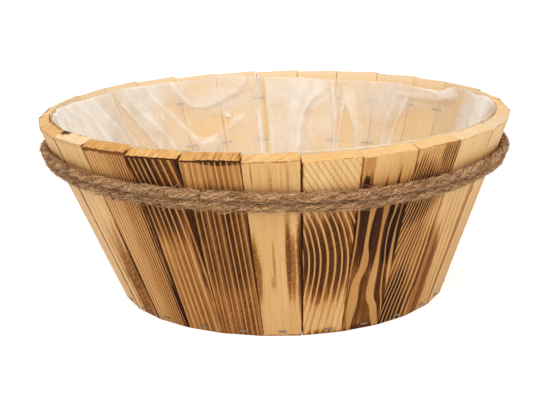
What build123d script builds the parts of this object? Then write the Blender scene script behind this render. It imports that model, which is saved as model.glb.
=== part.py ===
from build123d import *
import math
import os

# Bowl. Lengths are in millimetres and angles in degrees.
rim_diameter = 400.0  # across the outer corners of the stave tops
base_diameter = 282.4  # across the outer corners of the stave feet
bowl_height = 153.0
rim_shift = 5.4  # the hand-built rim stands this far to the left of the base

# Staves. The first stave is the one in front and the others follow to the right.
stave_count = 28
front_seam_angle = 263.0  # the seam on the left of the first stave
stave_thickness = 11.0
seam_gap = 0.4
edge_ease = 0.8
top_unevenness = 1.2
stave_width_shares = (
    0.95, 1.01, 1.01, 0.95, 1.06, 0.98, 1.00, 0.96, 1.06, 0.99, 0.96, 1.03, 1.02, 0.96,
    0.99, 0.98, 1.01, 1.03, 1.00, 0.98, 1.02, 1.00, 1.00, 0.99, 1.00, 1.00, 1.00, 1.02,
)
stave_height_shares = (
    -0.2, -1.0, -0.6, 0.5, 0.3, -0.2, 0.0, -0.2, 0.3, 0.5, 0.0, 0.2, 0.4, -0.2,
    -0.3, -0.4, -0.8, -0.1, 0.3, -0.3, 0.1, -0.1, -0.4, -0.2, 1.0, 0.8, 0.1, 0.2,
)
wide_seam_shares = {1: 2.5, 15: 3.0}  # seams that have opened, counted from the front one

# Base board
board_thickness = 9.0
board_clearance = 0.15

# Staples of flat wire
wire_width = 1.2
wire_thickness = 0.6
slot_clearance = 0.12
crown_clearance = 0.05
joint_crown = 12.8
joint_leg = 8.0
joint_upper_drop = 22.0  # below the rim
joint_lower_drop = 62.0  # below the rim
tack_crown = 6.0
base_leg = 22.0
base_staple_height = 4.5
base_staple_shares = (
    0.00, 0.16, 0.07, 0.10, 0.10, -0.05, 0.08, -0.10, 0.05, 0.12, -0.08, 0.00, 0.15, -0.12,
    0.06, 0.02, -0.10, 0.10, 0.00, -0.06, 0.12, 0.04, -0.10, 0.05, -0.14, -0.18, 0.00, 0.02,
)
rope_leg = 16.0

# Jute rope in two turns side by side
rope_diameter = 7.6
rope_sides = 10
rope_gap = 0.6
rope_clearance = 0.3
rope_drop = 30.5  # from the rim down to the middle of the two turns in front
rope_start_angle = 90.0
rope_turns = 2
arcs_per_turn = 4
upper_tack_angles = (97.0, 253.5)
lower_tack_angles = (83.0, 231.0)

# Film liner, thicker than the real film, with folds that run down its wall
liner_thickness = 0.6
liner_clearance = 0.4
liner_drop = 2.5  # from the rim down to the edge of the film
liner_corner = 12.0
fold_depth = 5.0
fold_width = 18.0
fold_angles = (2, 28, 45, 60, 73, 91, 107, 124, 143, 160, 178, 201, 222, 246, 264, 284, 305, 322, 341)
fold_depth_shares = (0.6, 0.9, 0.5, 1.0, 0.7, 1.0, 0.8, 1.0, 0.6, 0.9)

# All cuts run past the wood by this
overrun = 5.0

rim_radius = rim_diameter / 2
base_radius = base_diameter / 2
wall_tilt = math.atan2(rim_radius - base_radius, bowl_height)
level_thickness = stave_thickness / math.cos(wall_tilt)


def around(angle):
    """Level unit vector that points from the middle of the bowl to this angle."""
    return Vector(math.cos(math.radians(angle)), math.sin(math.radians(angle)), 0)


def along(angle):
    """Level unit vector that runs along the wall at this angle."""
    return around(angle + 90)


def middle_at(height):
    """Middle of the bowl at this height, on the line from the base to the shifted rim."""
    return Vector(-rim_shift * height / bowl_height, 0, height)


def radius_at(height):
    """Radius of the staves' outer corners at this height."""
    return base_radius + (rim_radius - base_radius) * height / bowl_height


def seam_angle_list():
    """Angles of all seams, with the first one again at the end."""
    total = sum(stave_width_shares)
    angles = [front_seam_angle]
    for share in stave_width_shares:
        angles.append(angles[-1] + 360 * share / total)
    return angles


seam_angles = seam_angle_list()
narrow_half = min(b - a for a, b in zip(seam_angles, seam_angles[1:])) / 2
wide_half = max(b - a for a, b in zip(seam_angles, seam_angles[1:])) / 2


def seam_plane(seam, side):
    """Face of the stave on one side of a seam, with its normal towards that stave.

    side is 1 for the stave that follows the seam and -1 for the one before it.
    """
    angle = seam_angles[seam]
    foot = middle_at(0) + around(angle) * base_radius
    top = middle_at(bowl_height) + around(angle) * rim_radius
    normal = around(angle).cross(top - foot).normalized()
    normal = normal * (side if normal.dot(along(angle)) > 0 else -side)
    opening = seam_gap * wide_seam_shares.get(seam % stave_count, 1)
    return Plane(origin=foot + normal * (opening / 2), z_dir=normal)


def wall_plane(angle, half, height):
    """Outer face of a stave at this height, with its normal outwards and x along the wall."""
    foot = middle_at(0) + around(angle) * (base_radius * math.cos(math.radians(half)))
    top = middle_at(bowl_height) + around(angle) * (rim_radius * math.cos(math.radians(half)))
    up = (top - foot).normalized()
    normal = along(angle).cross(up).normalized()
    share = height / bowl_height
    return Plane(origin=foot + (top - foot) * share, x_dir=along(angle), z_dir=normal)


def stave(number):
    """One stave: a board, mitred along both seams, cut level at foot and top, edges eased."""
    first, last = seam_angles[number], seam_angles[number + 1]
    face = wall_plane((first + last) / 2, (last - first) / 2, bowl_height / 2)
    wide = 2 * rim_radius * math.tan(math.radians(last - first))
    long = 2 * (bowl_height + top_unevenness)
    board = extrude(face * Rectangle(wide, long), amount=-stave_thickness)
    board = split(board, bisect_by=seam_plane(number, 1), keep=Keep.TOP)
    board = split(board, bisect_by=seam_plane(number + 1, -1), keep=Keep.TOP)
    board = split(board, bisect_by=Plane.XY, keep=Keep.TOP)
    top = bowl_height + top_unevenness * stave_height_shares[number]
    board = split(board, bisect_by=Plane.XY.offset(top), keep=Keep.BOTTOM)
    outside = max(board.faces(), key=lambda f: f.normal_at().dot(face.z_dir))
    eased = [e for e in outside.edges() if e.center().Z > edge_ease]
    return chamfer(eased, edge_ease)


def staple(crown, leg):
    """Staple of flat wire: the crown's inner face at z 0, the legs down, x along the crown."""
    outside = Pos(0, (wire_thickness - leg) / 2) * Rectangle(crown, leg + wire_thickness)
    inside = Pos(0, -leg / 2) * Rectangle(crown - 2 * wire_thickness, leg)
    outline = Plane.XZ * (outside - inside)
    return extrude(outline, amount=wire_width / 2, both=True)


def staple_slots(crown, leg):
    """The two slots that a staple's legs stand in."""
    slot = Box(
        wire_thickness + 2 * slot_clearance,
        wire_width + 2 * slot_clearance,
        leg + slot_clearance + overrun,
    )
    middle = Pos(0, 0, (overrun - leg - slot_clearance) / 2)
    reach = (crown - wire_thickness) / 2
    return [middle * Pos(side * reach, 0, 0) * slot for side in (-1, 1)]


def joint_place(seam, drop):
    """Where a joint staple lies: across a seam inside the bowl, its crown's ends on the wood."""
    angle = seam_angles[seam]
    height = bowl_height - drop
    inner = radius_at(height) - level_thickness / math.cos(math.radians(wide_half))
    corner = middle_at(height) + around(angle) * inner
    up = middle_at(bowl_height) + around(angle) * rim_radius - middle_at(0)
    up = (up - around(angle) * base_radius).normalized()
    normal = up.cross(along(angle)).normalized()
    sink = joint_crown / 2 * math.sin(math.radians(wide_half)) + crown_clearance
    return Plane(origin=corner + normal * sink, x_dir=along(angle), z_dir=normal)


def base_place(number):
    """Where a base staple lies: level through the foot of a stave into the base board."""
    first, last = seam_angles[number], seam_angles[number + 1]
    angle = (first + last) / 2
    half = (last - first) / 2
    crown_top = base_staple_height + wire_width / 2
    wall = wall_plane(angle, half, crown_top)
    aside = base_staple_shares[number] * 2 * base_radius * math.sin(math.radians(half))
    origin = wall.origin + along(angle) * aside + around(angle) * crown_clearance
    origin = Vector(origin.X, origin.Y, base_staple_height)
    return Plane(origin=origin, x_dir=along(angle), z_dir=around(angle))


rope_step = (rope_diameter + rope_gap) * math.cos(wall_tilt)
rope_top = bowl_height - rope_drop + rope_step
rope_stand = (rope_diameter / 2 + rope_clearance) / math.cos(wall_tilt)


def rope_point(turn):
    """Point of the rope's centre line after this many turns, down the tapering wall."""
    height = rope_top - rope_step * turn
    angle = rope_start_angle + 360 * turn
    return middle_at(height) + around(angle) * (radius_at(height) + rope_stand)


def rope_direction(turn):
    """Unit vector along the rope after this many turns."""
    height = rope_top - rope_step * turn
    angle = rope_start_angle + 360 * turn
    sideways = along(angle) * (2 * math.pi * (radius_at(height) + rope_stand))
    narrowing = (rim_radius - base_radius) / bowl_height * rope_step
    drift = Vector(rim_shift * rope_step / bowl_height, 0, -rope_step)
    return (sideways + drift - around(angle) * narrowing).normalized()


def biarc(start, start_direction, end, end_direction):
    """Two arcs that leave start and reach end along the given directions."""
    chord = end - start
    both = start_direction + end_direction
    square = both.dot(both) - 4
    half = chord.dot(both)
    reach = (half - math.sqrt(half * half - square * chord.dot(chord))) / square
    joint = (start + start_direction * reach + end - end_direction * reach) / 2
    first = TangentArc(start, joint, tangent=start_direction)
    return [first, TangentArc(joint, end, tangent=first % 1)]


def rope_path():
    """The rope's centre line: a biarc for each quarter turn."""
    arcs = []
    for number in range(rope_turns * arcs_per_turn):
        here, there = number / arcs_per_turn, (number + 1) / arcs_per_turn
        arcs += biarc(rope_point(here), rope_direction(here), rope_point(there), rope_direction(there))
    return arcs


def least_rope_gap(arcs):
    """Least gap between the two turns, from points along them."""
    points_per_arc = 24
    points = [arc @ (n / points_per_arc) for arc in arcs for n in range(points_per_arc)]
    apart = len(points) // (2 * rope_turns)
    least = min(
        (points[i] - points[j]).length for i in range(len(points)) for j in range(i + apart, len(points))
    )
    return least - rope_diameter


def rope_tack_place(angle, turn):
    """Where a rope staple lies: its crown across one turn of the rope, legs into the wood."""
    turn = turn + ((angle - rope_start_angle) % 360) / 360
    height = rope_top - rope_step * turn
    up = middle_at(bowl_height) + around(angle) * rim_radius - middle_at(0)
    up = (up - around(angle) * base_radius).normalized()
    normal = along(angle).cross(up).normalized()
    origin = rope_point(turn) + normal * (rope_diameter / 2 + crown_clearance)
    return Plane(origin=origin, x_dir=up, z_dir=normal)


def board_radius_at(height):
    """Radius of the base board at this height, inside the widest stave's inner face."""
    flat = radius_at(height) * math.cos(math.radians(wide_half))
    return flat - level_thickness - board_clearance


def cone_between(low, low_radius, high, high_radius):
    """Solid between two level circles round the bowl's middle line."""
    circles = []
    for height, radius in ((low, low_radius), (high, high_radius)):
        circles.append(Plane(origin=middle_at(height)) * Circle(radius))
    return loft(circles, ruled=True)


def liner_outline(height, radius):
    """Level outline of the liner: a ring of straight sides, drawn in at each fold."""
    middle = middle_at(height)
    reach = math.degrees(fold_width / 2 / rim_radius)
    following = list(fold_angles[1:]) + [fold_angles[0] + 360]
    points = []
    for number, angle in enumerate(fold_angles):
        share = fold_depth_shares[number % len(fold_depth_shares)]
        inward = fold_depth * share * radius / rim_radius
        points.append(middle + around(angle - reach) * radius)
        points.append(middle + around(angle) * (radius - inward))
        points.append(middle + around(angle + reach) * radius)
        points.append(middle + around((angle + following[number]) / 2) * radius)
    return make_face(Polyline(*points, close=True))


def liner_form(inset):
    """Solid form of the liner's outside, or of its inside with the film's thickness as inset."""
    crown = joint_crown / 2 * math.sin(math.radians(wide_half)) + crown_clearance + wire_thickness
    clear = level_thickness + (crown + liner_clearance + inset) / math.cos(wall_tilt)
    low = board_thickness + board_clearance + inset
    bend = board_thickness + board_clearance + liner_corner
    high = bowl_height - liner_drop + (overrun if inset else 0)
    outlines = [liner_outline(low, radius_at(bend) - clear - liner_corner)]
    for height in (bend, high):
        outlines.append(liner_outline(height, radius_at(height) - clear))
    return loft(outlines, ruled=True)


def save(name, shape):
    """Write one node."""
    shape.label = name
    export_step(shape, os.path.join("parts", name + ".step"))


def main():
    """Build every node and write it."""
    os.makedirs("parts", exist_ok=True)
    seams = range(stave_count)
    joints = {
        "joint_staples_upper": [joint_place(seam, joint_upper_drop) for seam in seams],
        "joint_staples_lower": [joint_place(seam, joint_lower_drop) for seam in seams],
    }
    bases = [base_place(number) for number in seams]
    tacks = [rope_tack_place(angle, 0) for angle in upper_tack_angles]
    tacks += [rope_tack_place(angle, 1) for angle in lower_tack_angles]

    joint_slots = {}
    for places in joints.values():
        for seam, place in enumerate(places):
            before, after = [place * slot for slot in staple_slots(joint_crown, joint_leg)]
            for slot in (before, after):
                joint_slots.setdefault(seam, []).append(slot)
    base_slots = [[place * slot for slot in staple_slots(tack_crown, base_leg)] for place in bases]
    tack_slots = [place * slot for place in tacks for slot in staple_slots(tack_crown, rope_leg)]

    for number in range(stave_count):
        cuts = list(base_slots[number]) + tack_slots
        for seam in (number, (number + 1) % stave_count):
            cuts += joint_slots[seam]
        save(f"stave_{number + 1:02d}", stave(number) - cuts)

    board = cone_between(0, board_radius_at(0), board_thickness, board_radius_at(board_thickness))
    save("base_board", board - [slot for pair in base_slots for slot in pair])
    save("liner", liner_form(0) - liner_form(liner_thickness))

    arcs = rope_path()
    start = Plane(origin=rope_point(0), z_dir=rope_direction(0))
    section = start * RegularPolygon(rope_diameter / 2, rope_sides)
    rope = sweep(section, path=Wire(arcs))
    length = sum(arc.length for arc in arcs)
    share = rope.volume / (section.area * length)
    print(f"rope length {length:.1f}, volume share {share:.4f}, least gap {least_rope_gap(arcs):.2f}")
    save("rope", rope - tack_slots)

    for name, places in joints.items():
        save(name, Compound([place * staple(joint_crown, joint_leg) for place in places]))
    save("base_staples", Compound([place * staple(tack_crown, base_leg) for place in bases]))
    save("rope_staples", Compound([place * staple(tack_crown, rope_leg) for place in tacks]))


main()
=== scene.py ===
"""Tapered bowl of flame-darkened pine staves, with a film liner and two turns of jute rope."""

import logging
import math
import random
from dataclasses import dataclass, replace
from enum import Enum
from typing import Callable, Sequence, Union

import bmesh
import bpy
from mathutils import Matrix, Vector, noise


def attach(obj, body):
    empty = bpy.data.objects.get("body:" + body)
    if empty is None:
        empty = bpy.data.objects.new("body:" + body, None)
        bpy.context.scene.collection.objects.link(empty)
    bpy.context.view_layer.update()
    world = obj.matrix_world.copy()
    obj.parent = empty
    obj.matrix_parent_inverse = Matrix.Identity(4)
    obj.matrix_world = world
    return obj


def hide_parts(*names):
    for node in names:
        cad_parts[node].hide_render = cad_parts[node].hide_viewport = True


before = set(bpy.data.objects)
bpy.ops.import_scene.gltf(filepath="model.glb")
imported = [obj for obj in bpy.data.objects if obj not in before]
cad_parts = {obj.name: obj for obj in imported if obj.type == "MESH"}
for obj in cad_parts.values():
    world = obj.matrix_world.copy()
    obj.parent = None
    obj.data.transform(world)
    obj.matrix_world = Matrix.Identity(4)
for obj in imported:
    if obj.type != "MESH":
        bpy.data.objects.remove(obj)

LOG = logging.getLogger("planter")
MM = 0.001
FULL_TURN = 2 * math.pi
BODY = "root"
MERGE_DISTANCE = 0.001 * MM

Pair = tuple[float, float]
Triple = tuple[float, float, float]
Colour = Triple
Number = Union[float, "Value"]
Stops = Sequence[tuple[float, Colour]]
Points = Sequence[tuple[float, float]]


def colour(red: int, green: int, blue: int) -> Colour:
    """A colour as a picture shows it, in the linear values that a shader takes.

    Args:
        red, green, blue: Display values from 0 to 255.

    Returns:
        The linear red, green and blue.
    """

    def linear(value: int) -> float:
        """One display value as a linear one."""
        share = value / 255
        return share / 12.92 if share <= 0.04045 else ((share + 0.055) / 1.055) ** 2.4

    return linear(red), linear(green), linear(blue)


@dataclass(frozen=True)
class Cloud:
    """A soft random pattern about 0.5.

    The scale is how fine it is along each axis, the detail how many finer patterns are added, rough
    how strong those are, and the shift picks another part of the same pattern.
    """

    scale: Triple
    detail: float = 2.0
    rough: float = 0.5
    shift: float = 0.0


class Value:
    """A number, vector or colour that changes over a surface, for sums written as with numbers."""

    def __init__(self, graph: "Graph", socket: bpy.types.NodeSocket) -> None:
        """Take an output of one of the graph's nodes."""
        self.graph = graph
        self.socket = socket

    def __add__(self, other: Number) -> "Value":
        """The sum of two numbers."""
        return self.graph.maths("ADD", self, other)

    def __sub__(self, other: Number) -> "Value":
        """This number less another."""
        return self.graph.maths("SUBTRACT", self, other)

    def __mul__(self, other: Number) -> "Value":
        """The product of two numbers."""
        return self.graph.maths("MULTIPLY", self, other)

    def __truediv__(self, other: Number) -> "Value":
        """This number in shares of another."""
        return self.graph.maths("DIVIDE", self, other)

    def __abs__(self) -> "Value":
        """This number without its sign."""
        return self.graph.maths("ABSOLUTE", self)

    def larger(self, other: Number) -> "Value":
        """The larger of two numbers."""
        return self.graph.maths("MAXIMUM", self, other)

    def smaller(self, other: Number) -> "Value":
        """The smaller of two numbers."""
        return self.graph.maths("MINIMUM", self, other)

    def root(self) -> "Value":
        """The square root."""
        return self.graph.maths("SQRT", self)

    def fraction(self) -> "Value":
        """What is left above the whole number below."""
        return self.graph.maths("FRACT", self)

    def whole(self) -> "Value":
        """The whole number below."""
        return self.graph.maths("FLOOR", self)

    def split(self) -> tuple["Value", "Value", "Value"]:
        """The three numbers of a vector."""
        x, y, z = self.graph.add("SeparateXYZ", {0: self}).outputs
        return Value(self.graph, x), Value(self.graph, y), Value(self.graph, z)

    def rise(
        self, low: Number, high: Number, low_out: Number = 0.0, high_out: Number = 1.0
    ) -> "Value":
        """A smooth step.

        Args:
            low, high: Where the step starts and ends.
            low_out, high_out: The result before and after it.

        Returns:
            The result.
        """
        inputs = {"Value": self, "From Min": low, "From Max": high}
        inputs |= {"To Min": low_out, "To Max": high_out}
        return self.graph.result("MapRange", inputs, interpolation_type="SMOOTHSTEP")


class Graph:
    """The nodes of one material, written as sums and patterns."""

    def __init__(self, name: str) -> None:
        """Start an empty material.

        Args:
            name: The material's name.
        """
        self.material = bpy.data.materials.new(name)
        self.material.use_nodes = True
        self.tree = self.material.node_tree
        self.tree.nodes.clear()

    def add(
        self, kind: str, inputs: dict[str | int, object] | None = None, **settings: object
    ) -> bpy.types.Node:
        """Add one node.

        Args:
            kind: The node's type, without the word ShaderNode.
            inputs: Constants or values for its inputs, by name or place.
            settings: Properties of the node.

        Returns:
            The node.
        """
        node = self.tree.nodes.new("ShaderNode" + kind)
        for key, setting in settings.items():
            setattr(node, key, setting)
        for key, value in (inputs or {}).items():
            if isinstance(value, Value):
                self.tree.links.new(value.socket, node.inputs[key])
            elif node.inputs[key].type == "RGBA":
                node.inputs[key].default_value = (*value[:3], 1.0)
            else:
                node.inputs[key].default_value = value
        return node

    def result(self, kind: str, inputs: dict[str | int, object], **settings: object) -> Value:
        """Add one node, as add does, and take its first output."""
        return Value(self, self.add(kind, inputs, **settings).outputs[0])

    def maths(self, operation: str, first: Number, second: Number = 0.0) -> Value:
        """The result of one Math node, by Blender's name of the operation."""
        return self.result("Math", {0: first, 1: second}, operation=operation)

    def join(self, x: Number, y: Number, z: Number) -> Value:
        """A vector of three numbers."""
        return self.result("CombineXYZ", {0: x, 1: y, 2: z})

    def own(self, name: str) -> Value:
        """A vector that the mesh itself carries."""
        node = self.add("Attribute", attribute_name=name, attribute_type="GEOMETRY")
        return Value(self, node.outputs["Vector"])

    def place(self) -> Value:
        """Where a point lies in the piece's own frame."""
        return Value(self, self.add("TexCoord").outputs["Object"])

    def turned(self, vector: Value, axis: Triple, angle: float) -> Value:
        """A vector turned about an axis, by an angle in radians."""
        return self.result("VectorRotate", {"Vector": vector, "Axis": axis, "Angle": angle})

    def stretched(self, vector: Value, scale: Triple, shift: float = 0.0) -> Value:
        """A vector scaled along each axis, and then moved along all three."""
        return self.result("Mapping", {"Vector": vector, "Location": (shift,) * 3, "Scale": scale})

    def noise(self, vector: Value, detail: float, rough: float = 0.5) -> Value:
        """Blender's own random pattern at its plain size."""
        inputs = {"Vector": vector, "Scale": 1.0, "Detail": detail, "Roughness": rough}
        return self.result("TexNoise", inputs)

    def cloud(self, vector: Value, cloud: Cloud, seed: float = 0.0) -> Value:
        """A soft random pattern.

        Args:
            vector: The coordinates.
            cloud: The pattern.
            seed: Which part of it is taken.

        Returns:
            The pattern's value, about 0.5.
        """
        spot = self.stretched(vector, cloud.scale, seed + cloud.shift)
        return self.noise(spot, cloud.detail, cloud.rough)

    def curve(self, value: Value, points: Points) -> Value:
        """A smooth curve through points.

        Args:
            value: What is read, from 0 to 1.
            points: Places and their values, in order.

        Returns:
            The curve's value.
        """
        low, high = (pick(number for _, number in points) for pick in (min, max))
        node = self.add("FloatCurve", {1: value})
        line = node.mapping.curves[0]
        while len(line.points) < len(points):
            line.points.new(0.5, 0.5)
        for point, (place, number) in zip(line.points, points):
            point.location = (place, (number - low) / max(high - low, 1e-9))
        node.mapping.update()
        return Value(self, node.outputs[0]) * (high - low) + low

    def shades(self, value: Value, stops: Stops) -> Value:
        """A colour for each value.

        Args:
            value: What is read, from 0 to 1.
            stops: Places and their colours, in order.

        Returns:
            The colour.
        """
        node = self.add("ValToRGB", {0: value})
        points = node.color_ramp.elements
        while len(points) < len(stops):
            points.new(0.5)
        for point, (place, tint) in zip(points, stops):
            point.position = place
            point.color = (*tint, 1)
        return Value(self, node.outputs[0])

    def blend(self, share: Value, first: Value | Colour, second: Value | Colour) -> Value:
        """A mix of two colours, with this share of the second."""
        node = self.add("Mix", {0: share, 6: first, 7: second}, data_type="RGBA")
        return Value(self, node.outputs[2])

    def relief(self, height: Value, distance: float, strength: float) -> Value:
        """A bumped normal.

        Args:
            height: The relief, from 0 to 1.
            distance: How high 1 stands, in metres.
            strength: How strongly it shows.

        Returns:
            The normal.
        """
        return self.result("Bump", {"Height": height, "Distance": distance, "Strength": strength})

    def surface(self, **inputs: object) -> bpy.types.Material:
        """Close the material with a Principled shader.

        Args:
            inputs: Constants or values, by input name with spaces as underscores.

        Returns:
            The material.
        """
        named = {key.replace("_", " "): value for key, value in inputs.items()}
        shader = self.add("BsdfPrincipled", named)
        output = self.add("OutputMaterial")
        self.tree.links.new(shader.outputs[0], output.inputs[0])
        return self.material


@dataclass(frozen=True)
class BowlPlan:
    """Driving sizes of the bowl, in metres and degrees, as the solids have them."""

    rim_radius: float = 200.0 * MM
    base_radius: float = 141.2 * MM
    height: float = 153.0 * MM
    rim_shift: float = 5.4 * MM
    first_seam: float = 263.0
    thickness: float = 11.0 * MM
    seam_gap: float = 0.4 * MM
    top_unevenness: float = 1.2 * MM
    width_shares: tuple[float, ...] = (
        0.95, 1.01, 1.01, 0.95, 1.06, 0.98, 1.00, 0.96, 1.06, 0.99, 0.96, 1.03, 1.02, 0.96,
        0.99, 0.98, 1.01, 1.03, 1.00, 0.98, 1.02, 1.00, 1.00, 0.99, 1.00, 1.00, 1.00, 1.02,
    )
    height_shares: tuple[float, ...] = (
        -0.2, -1.0, -0.6, 0.5, 0.3, -0.2, 0.0, -0.2, 0.3, 0.5, 0.0, 0.2, 0.4, -0.2,
        -0.3, -0.4, -0.8, -0.1, 0.3, -0.3, 0.1, -0.1, -0.4, -0.2, 1.0, 0.8, 0.1, 0.2,
    )
    wide_seams: tuple[tuple[int, float], ...] = ((1, 2.5), (15, 3.0))

    @staticmethod
    def around(angle: float) -> Vector:
        """Level unit vector from the middle of the bowl to this angle."""
        return Vector((math.cos(math.radians(angle)), math.sin(math.radians(angle)), 0))

    @classmethod
    def along(cls, angle: float) -> Vector:
        """Level unit vector along the wall at this angle."""
        return cls.around(angle + 90)

    @property
    def count(self) -> int:
        """How many staves there are."""
        return len(self.width_shares)

    @property
    def taper(self) -> float:
        """How much the radius grows for each metre of height."""
        return (self.rim_radius - self.base_radius) / self.height

    @property
    def tilt(self) -> float:
        """How far the wall leans out from upright, in radians."""
        return math.atan(self.taper)

    def middle_at(self, height: float) -> Vector:
        """Middle of the bowl at this height, on the line from the base to the shifted rim."""
        return Vector((-self.rim_shift * height / self.height, 0, height))

    def radius_at(self, height: float) -> float:
        """Radius of the staves' outer corners at this height."""
        return self.base_radius + self.taper * height

    def seams(self) -> list[float]:
        """All seams of the wall.

        Returns:
            Their angles, with the first one again at the end.
        """
        angles = [self.first_seam]
        for share in self.width_shares:
            angles.append(angles[-1] + 360 * share / sum(self.width_shares))
        return angles

    def wall_normal(self, angle: float) -> Vector:
        """Outward normal of the wall at this angle."""
        level, upright = math.cos(self.tilt), math.sin(self.tilt)
        return (self.around(angle) * level - Vector((0, 0, upright))).normalized()

    def wall_up(self, angle: float) -> Vector:
        """Unit vector up the wall at this angle."""
        level, upright = math.sin(self.tilt), math.cos(self.tilt)
        return (self.around(angle) * level + Vector((0, 0, upright))).normalized()

    def seam_plane(self, seam: int, side: int) -> tuple[Vector, Vector]:
        """Side face of a stave.

        Args:
            seam: The seam's number.
            side: 1 for the stave that follows the seam and -1 for the one before it.

        Returns:
            A point on the face, and its normal out of that stave.
        """
        angle = self.seams()[seam]
        foot = self.middle_at(0) + self.around(angle) * self.base_radius
        top = self.middle_at(self.height) + self.around(angle) * self.rim_radius
        normal = self.around(angle).cross(top - foot).normalized()
        if normal.dot(self.along(angle)) * side > 0:
            normal.negate()
        opening = self.seam_gap * dict(self.wide_seams).get(seam % self.count, 1)
        return foot - normal * (opening / 2), normal

    def stave_frame(self, number: int) -> Matrix:
        """A stave's own axes: x across to the right, y up the stave and z outwards.

        Args:
            number: The stave's place in the ring, from 0.

        Returns:
            The axes, from the middle of the stave's foot, in the row's frame.
        """
        first, last = self.seams()[number], self.seams()[number + 1]
        angle = (first + last) / 2
        flat = math.cos(math.radians((last - first) / 2))
        foot = self.middle_at(0) + self.around(angle) * (self.base_radius * flat)
        top = self.middle_at(self.height) + self.around(angle) * (self.rim_radius * flat)
        up = (top - foot).normalized()
        out = self.along(angle).cross(up).normalized()
        axes = Matrix((up.cross(out), up, out)).transposed().to_4x4()
        axes.translation = foot
        return axes

    def half_width(self, number: int, height: float) -> float:
        """Half of a stave's outer width at this height."""
        first, last = self.seams()[number], self.seams()[number + 1]
        return self.radius_at(height) * math.sin(math.radians((last - first) / 2))


def eased(angle: float, places: Points) -> float:
    """A value that changes smoothly with the angle round the bowl.

    Args:
        angle: The angle in degrees.
        places: Angles over one turn and their values, in order. The first value ends them too.

    Returns:
        The value.
    """
    start = places[0][0]
    turned = (angle - start) % 360 + start
    for (low, first), (high, last) in zip(places, places[1:]):
        if turned <= high:
            share = (turned - low) / (high - low)
            return first + (last - first) * share * share * (3 - 2 * share)
    return places[-1][1]


def finished(
    bm: bmesh.types.BMesh, name: str, materials: Sequence[bpy.types.Material]
) -> bpy.types.Object:
    """Turn a bmesh into a smooth-shaded object of the scene.

    Args:
        bm: The mesh, in the row's frame. It is freed.
        name: The object's name.
        materials: Its materials, in the order of its faces' indices.

    Returns:
        The object.
    """
    for face in bm.faces:
        face.smooth = True
    mesh = bpy.data.meshes.new(name)
    bm.to_mesh(mesh)
    bm.free()
    for material in materials:
        mesh.materials.append(material)
    piece = bpy.data.objects.new(name, mesh)
    bpy.context.scene.collection.objects.link(piece)
    return piece


def even_normals(piece: bpy.types.Object) -> None:
    """Keep large faces flat to the eye beside their rounded edges."""
    piece.modifiers.new("even_normals", "WEIGHTED_NORMAL").keep_sharp = True


Shape = Callable[[float, float], tuple[Vector, dict[str, Vector]]]


def wrapped_grid(
    columns: int, rows: int, shape: Shape, carried: Sequence[str]
) -> bmesh.types.BMesh:
    """A grid bent into shape.

    Args:
        columns: Faces along the first share.
        rows: Faces along the second share.
        shape: Where the point at two shares from 0 to 1 lies, and the vectors that it carries.
        carried: The names of those vectors.

    Returns:
        The mesh, with points that meet merged.
    """
    bm = bmesh.new()
    bmesh.ops.create_grid(bm, x_segments=columns, y_segments=rows, size=0.5)
    layers = {name: bm.verts.layers.float_vector.new(name) for name in carried}
    for vert in bm.verts:
        point, vectors = shape(vert.co.x + 0.5, vert.co.y + 0.5)
        for name, layer in layers.items():
            vert[layer] = vectors[name]
        vert.co = point
    bmesh.ops.remove_doubles(bm, verts=bm.verts, dist=MERGE_DISTANCE)
    return bm


class Look(Enum):
    """How a stave looks, where the photographed front gives it no look of its own."""

    PLAIN = "plain"
    FINE = "fine lines"
    BANDED = "dark bands"
    FLAMED = "flamed in the middle"
    CATHEDRAL = "arched rings"


@dataclass(frozen=True)
class Flame:
    """A place that the flame has darkened, in shares of a stave's half width and of its length."""

    across: float
    up: float
    reach_across: float
    reach_up: float
    depth: float

    def apart(self, across: Value, up: Value) -> Value:
        """How far places lie from its middle.

        Args:
            across, up: The places, in the same shares as the flame.

        Returns:
            The distance, where 1 is as far as the flame reaches.
        """
        aside = (across - self.across) * (1 / self.reach_across)
        along = (up - self.up) * (1 / self.reach_up)
        return (aside * aside + along * along).root()


@dataclass(frozen=True)
class Rings:
    """How a board was sawn: where the tree's heart lay, and how its rings run up the board.

    A course is how far the rings stray to the right, in millimetres, at shares of the board's
    length, and a spread how many times as far apart they lie there. The lean is how far they run
    sideways for each step through the board's thickness.
    """

    spacing: float = 4.0 * MM
    heart_across: float = -300.0 * MM
    heart_depth: float = 20.0 * MM
    course: Points = ()
    spread: Points = ()
    widening: float = 0.0
    lean: float = 1.1
    wobble: float = 1.2 * MM
    uneven: float = 1.1
    year_waves: float = 70.0
    light_share: float = 0.38
    line_share: float = 0.1
    line_depth: float = 0.28


WOOD_SHADES = (
    (0.00, colour(245, 212, 160)),
    (0.10, colour(231, 187, 125)),
    (0.28, colour(206, 152, 88)),
    (0.45, colour(168, 109, 54)),
    (0.62, colour(121, 73, 38)),
    (0.80, colour(77, 46, 27)),
    (1.00, colour(44, 31, 26)),
)
# The near-white of the light painted along the top of the inner faces
LIT_TOP_TINT = colour(248, 234, 220)
HONEY = colour(205, 146, 76)
GREYED = colour(220, 202, 180)

# How the rings wander, and how the pale streaks do
RING_WANDER = Cloud((26.0, 9.0, 26.0), detail=1.0)
STREAK_WANDER = Cloud((60.0, 22.0, 60.0))

# What makes the flame's edge ragged: fine streaks, clumps and the strokes of a brush
FINE_STREAKS = Cloud((420.0, 16.0, 160.0), detail=3.0, rough=0.6, shift=3.0)
CLUMPS = Cloud((70.0, 30.0, 70.0), detail=3.0, shift=7.0)
STROKES = Cloud((130.0, 900.0, 130.0), detail=3.0, rough=0.6, shift=13.0)
STROKE_ANGLE = math.radians(-38.0)

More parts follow.
